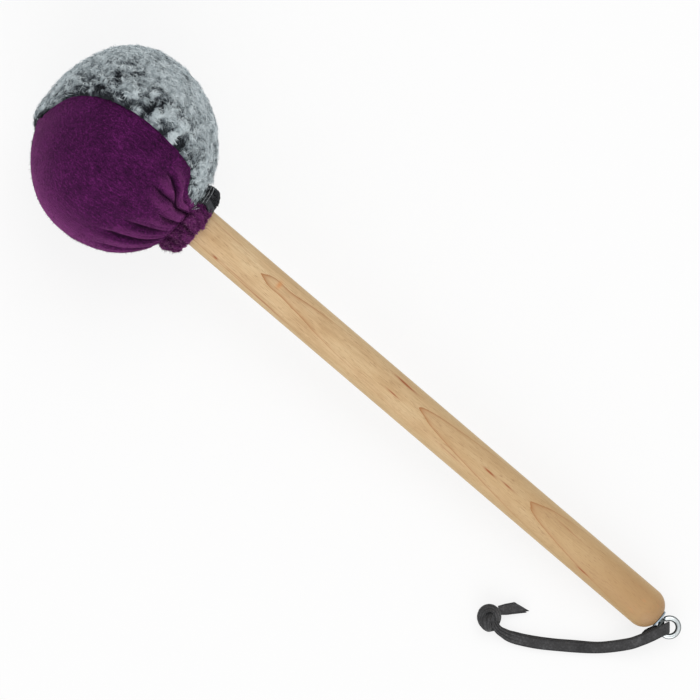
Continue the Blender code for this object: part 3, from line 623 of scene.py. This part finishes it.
wire_radius, wire_sides, shank_length = 1.4 * mm, 24, 20.0
eye_place, eye_ring = eye_x / mm, eye_ring_radius / mm
shank_top = eye_place - eye_ring
bend = np.pi + np.radians(344) * np.linspace(0, 1, 90)
shank = np.column_stack([np.linspace(shank_top - shank_length, shank_top - 0.9, 30), np.zeros((30, 2))])
ring_line = np.column_stack([eye_place + eye_ring * np.cos(bend), eye_ring * np.sin(bend), 0 * bend])
eye_line = laid(np.concatenate([shank, ring_line]))
eye_radii = np.full(len(eye_line), wire_radius)
eye_radii[:8] = np.linspace(0.2, 1.4, 8) * mm
eye_radii[-3:] = np.array((1.36, 1.25, 0.95)) * mm
screw_eye = swept_tube("wire_eye", eye_line, eye_radii, wire_sides, wire)
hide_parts("screw_eye")
# Painted reflection: nearly black on the ring's inner flank and dark grey on its outer flank.
ring_up = np.array(lie.to_3x3().col[2])
wire_middles = np.repeat(eye_line, wire_sides, axis=0)
eye_points = np.array([vertex.co for vertex in screw_eye.data.vertices])
flank = 1 - np.abs((eye_points - wire_middles) @ ring_up) / wire_radius
inner = np.linalg.norm(eye_points - np.array(eye), axis=1) < eye_ring_radius
inner_dark, outer_dark = 0.97 * eased(flank, 0.02, 0.12), 0.92 * eased(flank, 0.12, 0.20)
flank_shade = np.where(inner, inner_dark, outer_dark)
own_place = (eye_points - np.array(ball_centre)) @ lie_turn
# Painted shadow of the lace over the shank and the near part of the ring.
lace_shadow = (own_place[:, 0] < eye_x - 3.0 * mm) & (own_place[:, 1] < 1.3 * mm)
note(screw_eye, "sideways", np.where(lace_shadow, 0.93, flank_shade))

# The fleece panel is half of the head's cover: deep purple fleece, stretched smooth over the ball and
# gathered at the neck into deep pleats. Past the tie it stands out round the handle as a crushed ruffle.
fleece, place = new_finish("purple_fleece")
spot = along_mallet(place)
raised = place.noted("raised")
brushed = spot.drawn_out(330, 950, 950, 4, 0.7)
nap = place.noise(1500, 3, 0.7)
cloud = place.noise(85, 3, 0.55)
pile_tone = brushed * 0.42 + nap * 0.42 + cloud * 0.16
fleece_colour = pile_tone.ramp(
    (0.38, (0.016, 0.002, 0.017)), (0.46, (0.040, 0.004, 0.039)), (0.53, (0.074, 0.007, 0.069)),
    (0.62, (0.150, 0.017, 0.135)),
)
# Painted light: the fleece is painted paler towards its low rim, on the mallet's -y side.
low_rim_light = ((-spot.part("Y") - 0.030) / 0.012).clipped() * (0.12 + pile_tone * 0.45)
# Painted shade darkens the pleats' valleys and the ruffle's dips. Painted highlight lightens their crests,
# and the ruffle's rim and the fibres' tips are painted palest, as painted sheen.
fleece_colour = fleece_colour.stained(
    (low_rim_light, (0.190, 0.030, 0.160)), (-raised * 0.95, (0.012, 0.001, 0.013)),
    (raised * 0.75, (0.215, 0.042, 0.178)), (raised - 1.0, (0.480, 0.240, 0.390)),
)
finish_with(fleece, fleece_colour, 0.92 + nap * 0.08, brushed * 0.5 + nap * 0.5, 0.9, 0.0009)
soften(fleece, 0.12, 0.60, 0.30, (0.80, 0.20, 0.66))

ball_radius = 44.8
seam_angle = math.radians(31)
towards_fur = np.array((0, math.cos(seam_angle), -math.sin(seam_angle)))
along_seam = np.array((0, math.sin(seam_angle), math.cos(seam_angle)))
pole_lap, neck_lap = 10.5, math.radians(14)
stuffing_radius, cloth_thickness, cloth_at_handle = 41.2, 1.2, 12.75
groove = ((38.75, 21.6), (40.0, 19.6), (39.5, 16.9), (38.0, 14.4), (38.3, 12.85), (42.0, 12.85))
fleece_neck = (
    *groove, (42.4, 14.2), (40.9, 15.4), (41.2, 16.5), (43.4, 17.0), (45.8, 16.7), (48.2, 15.9),
    (49.8, 14.8), (50.4, 13.7),
)


def lapped(points):
    """Carries the seam 10 mm onto the fleece's side at the far pole, and a little way at the neck."""
    points = np.array(points)
    around = np.arctan2(points[..., 1], points[..., 2])
    near_neck = eased(points[..., 0], 26, 8) * eased((42.5 - points[..., 0]) / 3)
    swing = -neck_lap * near_neck * hill((around - seam_angle) / 0.5)
    y_place = points[..., 1] * np.cos(swing) + points[..., 2] * np.sin(swing)
    points[..., 2] = points[..., 2] * np.cos(swing) - points[..., 1] * np.sin(swing)
    points[..., 1] = y_place
    off, along = points @ towards_fur, points @ along_seam
    reach = hill(along / 18) * hill(off / 24) * eased(-points[..., 0] / 30)
    shrunk = 0.024 * eased(-points[..., 0], 12, 22) * eased(-off, -6, 14)
    size = np.linalg.norm(points, axis=-1) * (1 - shrunk)
    return unit(points - towards_fur * (pole_lap * reach)[..., None]) * size[..., None]


def rough(around, along, seed):
    """Smooth crumpling that never repeats, about -1 to 1, over two running coordinates."""
    total = 0
    for k, (a, b) in enumerate(((5.3, 0.21), (9.1, -0.34), (14.7, 0.55), (23.3, 0.83))):
        total = total + np.sin(a * around + b * along + seed * (k + 1.7)) / (1.25 + 0.45 * k)
    return total / 2.0


def cover_surface(columns, start_angle, pleats, neck, folds, fold_depth, seed):
    """The outer side of half a cover, row by row from the far pole to the ruffle's edge.

    pleats are valleys on the ball: their way as (polar angle, angle round), depth, width and start.
    Returns the points in the mallet's frame, and for the material each one's painted light and shade.
    """
    share = np.linspace(0, 1, columns)
    around = start_angle + math.pi * share
    polar = np.concatenate([np.linspace(1.2, 96, 44), np.linspace(96.7, 149.9, 84)])
    rows, light_and_shade_rows = [], []
    for degrees in polar:
        angle = math.radians(degrees)
        x_place, radius = -ball_radius * math.cos(angle), ball_radius * math.sin(angle)
        sunk = np.zeros(columns)
        for way, depth, width, first in pleats:
            middle = np.radians(np.interp(degrees, *zip(*way)))
            off = np.abs(around - middle) * radius
            grown = eased(degrees, first, 24)
            crease = np.exp(-((off / width) ** 1.3))
            shoulder = hill((off - 2.5 * width) / (1.6 * width))
            sunk += depth * grown * (crease - 0.27 * shoulder)
        lump = 0.16 * np.sin(7 * around + 3 * angle) * math.sin(5 * angle + 1)
        lump += 0.12 * rough(around, x_place, seed) * eased(degrees, 40, 50)
        lump *= eased(degrees / 25)
        reach = radius - np.clip(sunk, -1.0, 5.4) * 0.93 + lump
        stuffing_reach = math.sqrt(max(stuffing_radius**2 - x_place**2, 0.0))
        reach = np.maximum(reach, stuffing_reach + cloth_thickness + 0.15)
        rows.append(np.column_stack([np.full(columns, x_place), reach, around]))
        # Painted shade in each valley, painted highlight on the shoulders beside it.
        light_and_shade_rows.append(0.42 * eased(-sunk, 0.10, 0.9) - 1.05 * eased(sunk, 0.5, 2.2))
    lip_sunk = radius - rows[-1][:, 1]
    neck_line = smooth_line(neck, 86)
    fold_marks = np.cumsum(0.7 + 0.6 * np.abs(np.sin(seed + 1.9 * np.arange(folds + 1))))
    fold_marks = (fold_marks - fold_marks[0]) / (fold_marks[-1] - fold_marks[0])
    steady = 2 * math.pi * np.interp(share, fold_marks, np.arange(folds + 1))
    for k, (x_place, radius) in enumerate(neck_line):
        down = k / (len(neck_line) - 1)
        in_ruffle = eased(down, 0.44, 0.20)
        on_lip = 1 - eased(down / 0.25)
        crumple = rough(around * 1.3, 16 * down, seed + 2) + 0.80 * rough(around * 3.7, 43 * down, seed + 9)
        phase = steady + in_ruffle * 2.2 * rough(around, 14 * down, seed + 5)
        wave = 0.66 * np.cos(phase) + 0.22 * np.cos(2 * phase + 1.1 + 2.2 * down)
        turn = around + in_ruffle * 0.05 * np.sin(phase) * fold_depth
        reach = radius - lip_sunk * on_lip + in_ruffle * fold_depth * (0.85 * wave + 0.84 * crumple)
        end_on = hill((around + 1.35) / 0.55) + 0.35
        reach += in_ruffle * 0.30 * end_on * np.sin(2 * math.pi * (x_place / 1.35 + 0.8 * crumple))
        shift = in_ruffle * (0.4 * crumple + 0.30 * np.cos(phase * 0.5 + seed)) * eased(down, 0.66, 0.3)
        rows.append(np.column_stack([x_place + shift, np.maximum(reach, cloth_at_handle), turn]))
        # In the ruffle: painted highlight on the crests of the folds and crumples, painted shade in their
        # dips and in the groove under the lip, and the brightest painted highlight along the rim.
        rim = eased(down, 0.93, 0.05)
        dip = 0.85 * eased(-wave - 0.30 * crumple, 0.05, 0.6)
        tint = in_ruffle * (0.80 * eased(0.5 * wave + 1.2 * crumple, 0.1, 0.8) - dip - 0.12)
        tint -= (1 - in_ruffle) * (1 - on_lip) * 0.7
        light_and_shade_rows.append(tint * (1 - rim) + 1.35 * rim)
    return lapped(about_axis(*np.moveaxis(np.array(rows), -1, 0))), np.array(light_and_shade_rows)


def grid_faces(rows, columns):
    """Faces of a sheet of points, row by row, facing outwards."""
    corner = (np.arange(rows - 1)[:, None] * columns + np.arange(columns - 1)[None, :]).ravel()
    return np.column_stack([corner, corner + columns, corner + columns + 1, corner + 1])


def cover_piece(name, surface, painted_shading, finish):
    """A cover's sheet as a piece, given its cloth's thickness inwards."""
    faces = grid_faces(*surface.shape[:2])
    piece = add_piece(name, pressed(laid(surface.reshape(-1, 3))), faces, finish)
    note(piece, "raised", painted_shading)
    cloth = piece.modifiers.new("cloth", "SOLIDIFY")
    cloth.thickness = cloth_thickness * mm
    cloth.offset = -1.0
    return piece


fleece_pleats = [
    (((118, 13.6), (123, 10.7), (131, 7.6), (139, 5.3), (150, 12.0)), 5.2, 1.7, 104),
    (((112, 1.0), (119, 0.3), (126, 0.6), (134, 2.8), (150, 7.0)), 4.6, 1.6, 102),
    (((120, -12.0), (135, -15.0), (150, -16.0)), 5.2, 1.6, 120),
    (((120, 21.0), (150, 22.0)), 1.8, 1.3, 120),
]
for k, (place_round, depth, first) in enumerate(
    (
        (-23.5, 1.7, 118), (-31, 3.6, 104), (-38, 1.5, 116), (-47, 4.2, 98), (-55, 1.4, 118),
        (-65, 3.8, 104), (-75, 1.6, 114), (-87, 3.9, 100), (-99, 1.8, 112), (-112, 3.6, 102),
        (-125, 2.0, 112), (-137, 3.4, 106),
    )
):
    way = ((100, place_round - 2.5 * math.sin(3 * k)), (125, place_round), (150, place_round))
    fleece_pleats.append((way, depth, 0.8 + 0.26 * depth, first))
fleece_surface, fleece_shading = cover_surface(
    210, seam_angle - math.pi, fleece_pleats, fleece_neck, folds=9, fold_depth=1.9, seed=0.4
)
fleece_cover = cover_piece("fleece_panel", fleece_surface, fleece_shading, fleece)
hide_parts("fleece_cover")

rng = np.random.default_rng(11)


def nap_on(name, surface, count, long, thick, comb, palest):
    """Short fibres standing out of the fleece, each one a sliver, combed away from the far pole."""
    rows, columns = surface.shape[:2]
    row, column = rng.uniform(1, rows - 2, count), rng.uniform(1, columns - 2, count)
    low_row, low_column = row.astype(int), column.astype(int)
    here = surface[low_row, low_column]
    down, round_it = surface[low_row + 1, low_column] - here, surface[low_row, low_column + 1] - here
    area = np.linalg.norm(np.cross(round_it, down), axis=1)
    kept = rng.uniform(0, np.quantile(area, 0.7), count) < area
    here, down, round_it = here[kept], down[kept], round_it[kept]
    here = here + down * (row - low_row)[kept, None] + round_it * (column - low_column)[kept, None]
    outward = unit(np.cross(down, round_it))
    way = outward * 0.55 + unit(down) * comb + rng.normal(0, 0.55, here.shape)
    tip = here + way * (long * rng.uniform(0.5, 1.3, (len(here), 1)))
    side = unit(np.cross(tip - here, outward + rng.normal(0, 0.3, here.shape))) * thick / 2
    corners = np.stack([here - side, here + side, tip], axis=1).reshape(-1, 3)
    faces = np.arange(len(corners)).reshape(-1, 3)
    fibres = add_piece(name, pressed(laid(corners)), faces, fleece)
    # Painted shade and painted sheen: each fibre is painted darker at its root and paler at its tip.
    pale = rng.uniform(0.1, palest, len(here))
    note(fibres, "raised", np.stack([pale - 0.9, pale - 0.9, pale], axis=1))


ruffle_row = 162
nap_on("fleece_nap", fleece_surface, count=34000, long=0.65, thick=0.17, comb=0.5, palest=1.15)
ruffle = fleece_surface[ruffle_row:]
nap_on("ruffle_nap", ruffle, count=19000, long=1.15, thick=0.24, comb=0.0, palest=2.2)

# The fur panel is the other half: a black knitted backing, gathered and tied with the fleece. Past the tie
# it has no pile, and its turned hem is held by two rows of grey stitches.
knit, place = new_finish("black_knit")
raised = place.noted("raised")
stitch_rows = place.noise(900, 2, 0.6)
knit_ribs = place.node(
    "ShaderNodeTexWave", {"wave_type": "BANDS"},
    {"Vector": place, "Scale": 420.0, "Distortion": 3.0, "Detail": 2.0}, output=1,
)
# Painted highlight: the knit is painted paler on its crumples' crests and along the hem's rim.
knit_colour = (stitch_rows * 0.6 + knit_ribs * 0.4).ramp(
    (0.3, (0.002, 0.002, 0.003)), (0.58, (0.010, 0.011, 0.013)), (0.78, (0.110, 0.117, 0.126))
).stained(((raised - 0.15) * 0.9, (0.130, 0.138, 0.148)))
knit_relief = knit_ribs * 0.6 + stitch_rows * 0.4
finish_with(knit, knit_colour, 0.75 + stitch_rows * 0.1, knit_relief, 1.0, 0.0006)
soften(knit, 0.06)

fur_pleats = [
    (((100, 42 + 19 * k), (150, 42 + 19 * k)), 2.0, 1.6, 108 + 5 * (k % 3)) for k in range(9)
]
fur_neck = (
    *groove, (41.7, 14.4), (40.5, 15.8), (41.3, 17.2), (43.5, 18.0), (45.9, 18.0), (48.0, 17.0),
    (49.5, 15.5), (49.6, 13.9), (48.7, 13.1),
)
backing_surface, backing_shading = cover_surface(
    108, seam_angle, fur_pleats, fur_neck, folds=7, fold_depth=0.95, seed=2.1
)
rows_on_ball = 128
backing_surface[:rows_on_ball] *= 0.985
fur_backing = cover_piece("fur_backing", backing_surface, backing_shading, knit)
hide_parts("fur_cover")


def grain_finish(material, grain, dark, pale, roughness, strength, depth):
    """A finish that is one grain, from dark to pale, with the same grain in relief."""
    finish_with(material, grain.ramp((0.3, dark), (0.7, pale)), roughness, grain, strength, depth)


thread, place = new_finish("grey_thread")
ply = place.noise(3000)
grain_finish(thread, ply, (0.13, 0.14, 0.15), (0.52, 0.54, 0.56), 0.7 + ply * 0.2, 0.4, 0.0001)

hem_rows = backing_surface[rows_on_ball:]
hem_radius, stitched_rows = 17, (55, 59)
stitch_count, stitch_radius, stitch_rings, stitch_sides = 100, 0.17 * mm, 8, 6
stitch_points, stitch_faces = [], []
for k in range(stitch_count):
    row = hem_rows[stitched_rows[k % 2]]
    start, end = row[k + 1], row[k + 2] * 1.25 - row[k + 1] * 0.25
    outward = np.array((0.2, start[1] / hem_radius, start[2] / hem_radius))
    way = [start - outward, start + 0.1 * outward, end + 0.1 * outward, end - outward]
    points_before = stitch_rings * stitch_sides * k
    for face in tube_faces(stitch_rings, stitch_sides):
        stitch_faces.append([corner + points_before for corner in face])
    stitch_points.append(tube_points(laid(smooth_line(way, stitch_rings)), stitch_radius, stitch_sides))
add_piece("hem_stitches", np.concatenate(stitch_points), stitch_faces, thread)

# The fur itself is soft curly pile, pale blue-grey where it faces out. It is matted into rounded tufts about
# 4 mm across, swirled different ways, with holes between them. Painted shade makes it nearly black at the
# roots, in the partings and holes and along the seam, and painted light makes it a little paler far from the
# seam.
fur, place = new_finish("curly_pile")
height_up = place.noted("height_up")
wool_grain = place.noise(1200, 3, 0.65)
wool_tuft = place.noise(330, 2, 0.6)
wool_patch = place.noise(110)
fur_tone = height_up + (wool_grain - 0.5) * 0.34 + (wool_tuft - 0.5) * 0.74 + (wool_patch - 0.5) * 0.20
fur_tone = (fur_tone - 0.62) * 1.25 + 0.715
fur_colour = fur_tone.clipped().ramp(
    (0.00, (0.005, 0.006, 0.009)), (0.22, (0.045, 0.053, 0.064)), (0.42, (0.200, 0.232, 0.250)),
    (0.62, (0.460, 0.522, 0.545)), (1.00, (0.720, 0.785, 0.805)),
)
finish_with(fur, fur_colour, 0.80 + wool_grain * 0.15, wool_grain, 0.6, 0.0005)
soften(fur, 0.15, 0.25, 0.5, (0.85, 0.93, 1.0))

fur_radius, fur_shift, fur_front, fur_rear = 53.6, 6.8, 39.9, 51.9
least_full = 0.45


def pile_surface(polar, around):
    """The fur's outer surface and its outward direction, in the mallet's frame, and how full it is there."""
    front = polar < np.pi / 2
    power = 2 / 2.4
    cosine, sine = np.cos(polar), np.maximum(np.sin(polar), 1e-4)
    x_place = np.where(front, -fur_front * np.abs(cosine) ** power, -fur_rear * cosine) - fur_shift
    radius = np.where(front, fur_radius * sine**power, fur_radius * sine)
    from_seam = np.minimum(around - seam_angle, seam_angle + np.pi - around) * radius
    full = least_full + (1 - least_full) * eased(from_seam, -1.0, 8.0)
    on_ball_x = np.clip(x_place, -ball_radius, ball_radius)
    on_ball_radius = np.sqrt(np.maximum(ball_radius**2 - on_ball_x**2, 0.0))
    radius = on_ball_radius + (radius - on_ball_radius) * full
    points = about_axis(x_place, radius, around)
    outward = points + np.array((fur_shift * 0.6, 0, 0))
    return lapped(points), unit(outward), full


def spread_over(count, jitter):
    """Places spread evenly over the fur's part of the head, as polar angle and angle round."""
    k = np.arange(2 * count) + 0.5
    cosine = np.clip(1 - k / count + rng.normal(0, jitter * 0.02, len(k)), -1, 1)
    golden_turn = np.pi * (3 - math.sqrt(5))
    around = (k * golden_turn + rng.normal(0, jitter * 0.05, len(k))) % (2 * np.pi)
    polar = np.arccos(cosine)
    around = np.where(around < seam_angle - 0.3, around + 2 * np.pi, around)
    kept = (around > seam_angle - 0.012) & (around < seam_angle + np.pi + 0.012)
    kept &= polar < np.radians(pile_end)
    return polar[kept], around[kept]


pile_end = 157
tuft_points = pile_surface(*spread_over(1150, 1.8))[0]
tuft_swirl = rng.uniform(-1.5, 1.5, len(tuft_points))
tuft_lean = rng.normal(size=tuft_points.shape) * 0.8 + np.array((0.35, 0.0, 0.0))
tuft_height = rng.normal(0.0, 0.45, len(tuft_points))
tuft_shade = rng.normal(0.0, 0.12, len(tuft_points))
tuft_hole = rng.uniform(0, 1, len(tuft_points))
deep_holes = (
    (-39.5, 21.4, 23.3), (-23.1, 29.0, 36.4), (-9.6, 27.1, 44.2), (4.8, 26.7, 45.4), (20.2, 20.7, 40.8),
)
seam_waves = rng.normal(0, 0.42, (3, 7))


def seam_shading(points, full):
    """Painted shade on the pile close to the seam, in patches; far from it, painted light makes the pile a
    little paler.
    """
    patches = np.sin(points @ seam_waves + 2.4 * np.arange(7)).sum(axis=1) / 3.0
    dark = 0.44 * eased(0.45 + 0.45 * patches) * (1 - eased(full, least_full, 0.54))
    return dark - 0.09 * eased(points @ towards_fur, 14, 22)


def tufts_at(points):
    """The nearest tuft to each point, how near it is to a parting, and how near to a hole.

    Partings and holes are deepest along the seam, where the pile was pulled about by the sewing.
    """
    wavy = points + 1.3 * np.sin(points[:, [1, 2, 0]] * 0.55 + 1.0) + 0.6 * np.sin(points[:, [2, 0, 1]] * 1.3)
    nearest, parting, hole = np.empty(len(points), dtype=int), np.empty(len(points)), np.empty(len(points))
    for first in range(0, len(points), 4000):
        block = slice(first, first + 4000)
        far = np.linalg.norm(wavy[block, None, :] - tuft_points[None], axis=2)
        order = np.argpartition(far, 2, axis=1)[:, :3]
        three = np.take_along_axis(far, order, axis=1)
        sort = np.argsort(three, axis=1)
        three, order = np.take_along_axis(three, sort, axis=1), np.take_along_axis(order, sort, axis=1)
        nearest[block] = order[:, 0]
        strength = 0.35 + 0.65 * np.abs(np.sin(3.7 * (order[:, 0] + order[:, 1])))
        parting[block] = np.exp(-(three[:, 1] - three[:, 0]) / 0.9) * strength
        hole[block] = hill((three[:, 2] - three[:, 0]) / 1.2) * (tuft_hole[order[:, 0]] > 0.45)
    depth = 0.35 + 0.65 * hill(points @ towards_fur / 21)
    parting, hole = parting * depth, hole * depth
    for deep_hole in deep_holes:
        far = np.linalg.norm((wavy - np.array(deep_hole)) / np.array((1.5, 1.0, 1.5)), axis=1)
        hole = np.maximum(hole, 1.25 * hill(far / 1.9))
    return nearest, parting, hole


shell_turns = seam_angle + np.pi * np.linspace(-0.009, 1.009, 194)
shell_polar, shell_around = np.meshgrid(np.radians(np.linspace(2, pile_end, 165)), shell_turns, indexing="ij")
shell_faces = grid_faces(*shell_polar.shape)
tops, outward, full = pile_surface(shell_polar.ravel(), shell_around.ravel())
nearest, parting, hole = tufts_at(tops)
hem_side = np.abs(shell_around.ravel() - seam_angle - np.pi / 2) - np.pi / 2
sink = 1.0 + 2.1 * parting + 3.0 * hole - 0.6 * tuft_height[nearest] + 6.0 * eased(hem_side, 0.008, 0.020)
shell = tops - outward * (sink * full)[:, None]
fur_shell = add_piece("fur_pile", pressed(laid(shell)), shell_faces, fur)
# Painted shade: the shell is painted darker in the partings and holes and where the pile thins by the seam.
shell_tone_and_shade = 0.72 - 0.42 * parting - 0.75 * hole + tuft_shade[nearest]
shell_tone_and_shade -= seam_shading(tops, full) + 0.24 * (1 - eased(full, least_full, 0.45))
note(fur_shell, "height_up", shell_tone_and_shade)

strand_steps = 4


def fur_strands(name, count, length, width, lift, stray):
    """Fine ribbons of pile that lie over the tufts, each swirled round its tuft's middle."""
    polar, around = spread_over(count, 2.5)
    tops, outward, full = pile_surface(polar, around)
    strands = len(tops)
    nearest, parting, hole = tufts_at(tops)
    away = squared_to(tops - tuft_points[nearest], outward)
    away = away / (np.linalg.norm(away, axis=1, keepdims=True) + 0.3)
    angle = (tuft_swirl[nearest] + rng.normal(0, 0.45 * stray, strands))[:, None]
    heading = away * np.cos(angle) + np.cross(outward, away) * np.sin(angle)
    heading += 0.55 * tuft_lean[nearest] + rng.normal(0, 0.25 * stray, tops.shape)
    past_seam = np.column_stack([np.zeros(strands), np.cos(around), -np.sin(around)])
    past_seam *= np.sign(around - seam_angle - np.pi / 2)[:, None]
    heading += past_seam * (0.8 * (1 - eased(full, least_full, 0.5)))[:, None]
    heading = unit(squared_to(heading, outward))
    bend = np.cross(outward, heading) * rng.normal(0.9, 0.7, strands)[:, None]
    share = np.linspace(0, 1, strand_steps)[None, :, None]
    long = length * rng.uniform(0.6, 1.25, strands) * (0.60 + 0.40 * full)
    long = (long * (1 - 0.4 * eased(tops[:, 0], 36, 4)))[:, None, None]
    path = heading[:, None] * (share - 0.35) + bend[:, None] * (share**2 - 0.3) * 0.55
    rise = lift + rng.normal(0, 0.25 * stray, strands) + 0.6 * tuft_height[nearest]
    rise = (rise - 1.8 * parting - 2.4 * hole)[:, None, None]
    arch = (1.15 * np.sin(np.pi * (0.10 + 0.72 * share)) - 1.05 + rise) * full[:, None, None]
    line = tops[:, None] + path * long + outward[:, None] * arch
    side = unit(np.cross(heading + 0.6 * bend, outward)) + outward * rng.normal(0, 0.5, strands)[:, None]
    half = np.sin(np.pi * (0.15 + 0.80 * share)) * width / 2 * rng.uniform(0.6, 1.4, strands)[:, None, None]
    rings = np.stack([line - side[:, None] * half, line + side[:, None] * half], axis=2)
    step = 2 * np.arange(strand_steps - 1)
    quads = np.stack([step, step + 2, step + 3, step + 1], axis=-1)
    quads = (np.arange(strands)[:, None, None] * 2 * strand_steps + quads[None]).reshape(-1, 4)
    piece = add_piece(name, pressed(laid(rings.reshape(-1, 3))), quads, fur)
    # Painted shade: each strand is painted darker in partings and holes and by the seam, and a little paler
    # towards its tip.
    up = tuft_shade[nearest] + rng.normal(0, 0.05, strands) - 0.40 * parting - 0.72 * hole
    up -= seam_shading(tops, full) + rng.normal(0, 0.06, strands)
    up = 0.60 + 0.26 * share[..., 0] + up[:, None]
    note(piece, "height_up", np.repeat(up, 2, axis=1))


fur_strands("fur_curls", count=34000, length=3.3, width=0.24, lift=0.0, stray=1.0)
fur_strands("fur_wisps", count=12000, length=2.4, width=0.15, lift=0.2, stray=1.4)

# The tie is a thin grey cord wound two and a half times round the gathered neck and pulled tight. It is
# sunk in the groove, and only a frayed end of it stands up beside the seam.
cord_end, place = new_finish("tie_cord")
twist = place.drawn_out(2200, 900, 900, 2, 0.5)
grain_finish(cord_end, twist, (0.30, 0.28, 0.34), (0.62, 0.60, 0.66), 0.8 + twist * 0.1, 0.4, 0.0002)
tie_turns, tie_pitch, tie_middle, tie_radius = 2.5, 1.65, 40.31, 13.85
wound = np.linspace(0, tie_turns, 220)
tie_places = tie_middle + tie_pitch * (wound - tie_turns / 2)
tie_line = laid(about_axis(tie_places, tie_radius, seam_angle + 2 * np.pi * wound))
tie = swept_tube("wound_tie", tie_line, 0.6 * mm, 10, cord_end)
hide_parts("neck_tie")
for k in range(9):
    spread_x, spread_turn = rng.normal(0, 0.7), math.radians(16 + rng.normal(0, 2.6))
    high = 19.6 + rng.uniform(-0.8, 1.0)
    strand_places, strand_turns = (40.3, 40.4 + 0.4 * spread_x, 40.5 + spread_x), (0.30, 0.29, spread_turn)
    strand = about_axis(strand_places, np.array((14.2, 17.0, high)), strand_turns)
    fray_line, fray_radii = laid(smooth_line(strand, 8)), np.linspace(0.34, 0.12, 8) * mm
    swept_tube(f"tie_fray_{k + 1}", fray_line, fray_radii, 5, cord_end)

# Inside the cover, unseen, are the hardwood core on the handle's end, its screw and washer, a sleeve of
# felt and the wool stuffing that makes the ball.
core_wood, place = new_finish("core_hardwood")
spot = along_mallet(place)
core_fibre = spot.drawn_out(40, 700, 700, 3, 0.6)
grain_finish(core_wood, core_fibre, (0.33, 0.20, 0.10), (0.55, 0.38, 0.20), 0.65, 0.3, 0.0002)
for node in ("head_core", "core_screw", "core_washer"):
    frame["nodes"][node].material_slots[0].material = core_wood if node == "head_core" else zinc

felt, place = new_finish("pressed_felt")
felt_fibres = place.noise(700, 4, 0.7)
grain_finish(felt, felt_fibres, (0.50, 0.48, 0.43), (0.70, 0.68, 0.62), 0.95, 0.6, 0.0005)
sleeve_outline = [(-17.4, 23.6), (-17.4, 28.4), (-16.6, 29.2), (14.2, 29.2), (15.0, 28.4), (15.0, 23.6)]
sleeve = turned_piece("felt_wrap", sleeve_outline, 96, felt, 40)
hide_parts("felt_sleeve")

wool, place = new_finish("wool_stuffing")
wool_curls = place.noise(330, 4, 0.7)
grain_finish(wool, wool_curls, (0.66, 0.63, 0.56), (0.88, 0.86, 0.80), 0.95, 0.8, 0.0012)
ball_angles = np.radians(np.linspace(2, 140, 60))
stuffing_outline = [(-stuffing_radius * math.cos(a), stuffing_radius * math.sin(a)) for a in ball_angles]
stuffing_outline += [(34.2, 20.0), (34.6, 11.2)]
stuffing = turned_piece("wool_stuffing", stuffing_outline, 96, wool, 60)
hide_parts("wool_padding")

# The mallet lies on a plain white table, under broad soft light from above, with one sun from the top of the
# picture and a stronger one from its bottom.
def rays_of(start, *kinds):
    """1 for a ray of one of these kinds, and 0 for any other."""
    told = start.node("ShaderNodeLightPath").socket.node.outputs
    return sum(Tone(start.tree, told[f"Is {kind} Ray"]) for kind in kinds).clipped()


table, place = new_finish("white_table")
speck = place.noise(40)
finish_with(table, speck.ramp((0.0, (0.90, 0.90, 0.90)), (1.0, (0.93, 0.93, 0.93))), 0.8)
seen_white = rays_of(place, "Camera", "Glossy", "Transmission") * 0.80
glow = place.node("ShaderNodeEmission", sockets={"Color": (1, 1, 1, 1), "Strength": 1.0})
surfaces = {0: seen_white, 1: Tone(place.tree, shader_of(table).outputs[0]), 2: glow}
mixed = place.node("ShaderNodeMixShader", sockets=surfaces)
place.tree.links.new(mixed.socket, place.tree.nodes["Material Output"].inputs["Surface"])
floor_mesh = bpy.data.meshes.new("table_top")
floor_mesh.from_pydata([(-30, -30, 0), (30, -30, 0), (30, 30, 0), (-30, 30, 0)], [], [(0, 1, 2, 3)])
floor_mesh.materials.append(table)
floor = set_out("table_top", floor_mesh)

world = bpy.data.worlds.new("studio")
world.use_nodes = True
bpy.context.scene.world = world
world.node_tree.nodes.clear()
sky = Tone(world.node_tree)
paper = {"Color": (1, 1, 1, 1)}
room, white = (sky.node("ShaderNodeBackground", (), paper | {"Strength": light}) for light in (0.62, 1.0))
both = sky.node("ShaderNodeMixShader", sockets={0: rays_of(sky, "Camera", "Glossy"), 1: room, 2: white})
world_output = world.node_tree.nodes.new("ShaderNodeOutputWorld")
world.node_tree.links.new(both.socket, world_output.inputs["Surface"])

for name, strength, softness, towards in (
    ("key_light", 0.78, 40, picture_up * 0.55 + picture_right * 0.15),
    ("fill_light", 1.15, 60, -picture_up * 1.9 + picture_right * 0.10),
):
    lamp_data = bpy.data.lights.new(name, "SUN")
    lamp_data.energy = strength
    lamp_data.angle = math.radians(softness)
    lamp = set_out(name, lamp_data)
    lamp.rotation_euler = (towards + Vector((0, 0, 1))).to_track_quat("Z", "Y").to_euler()
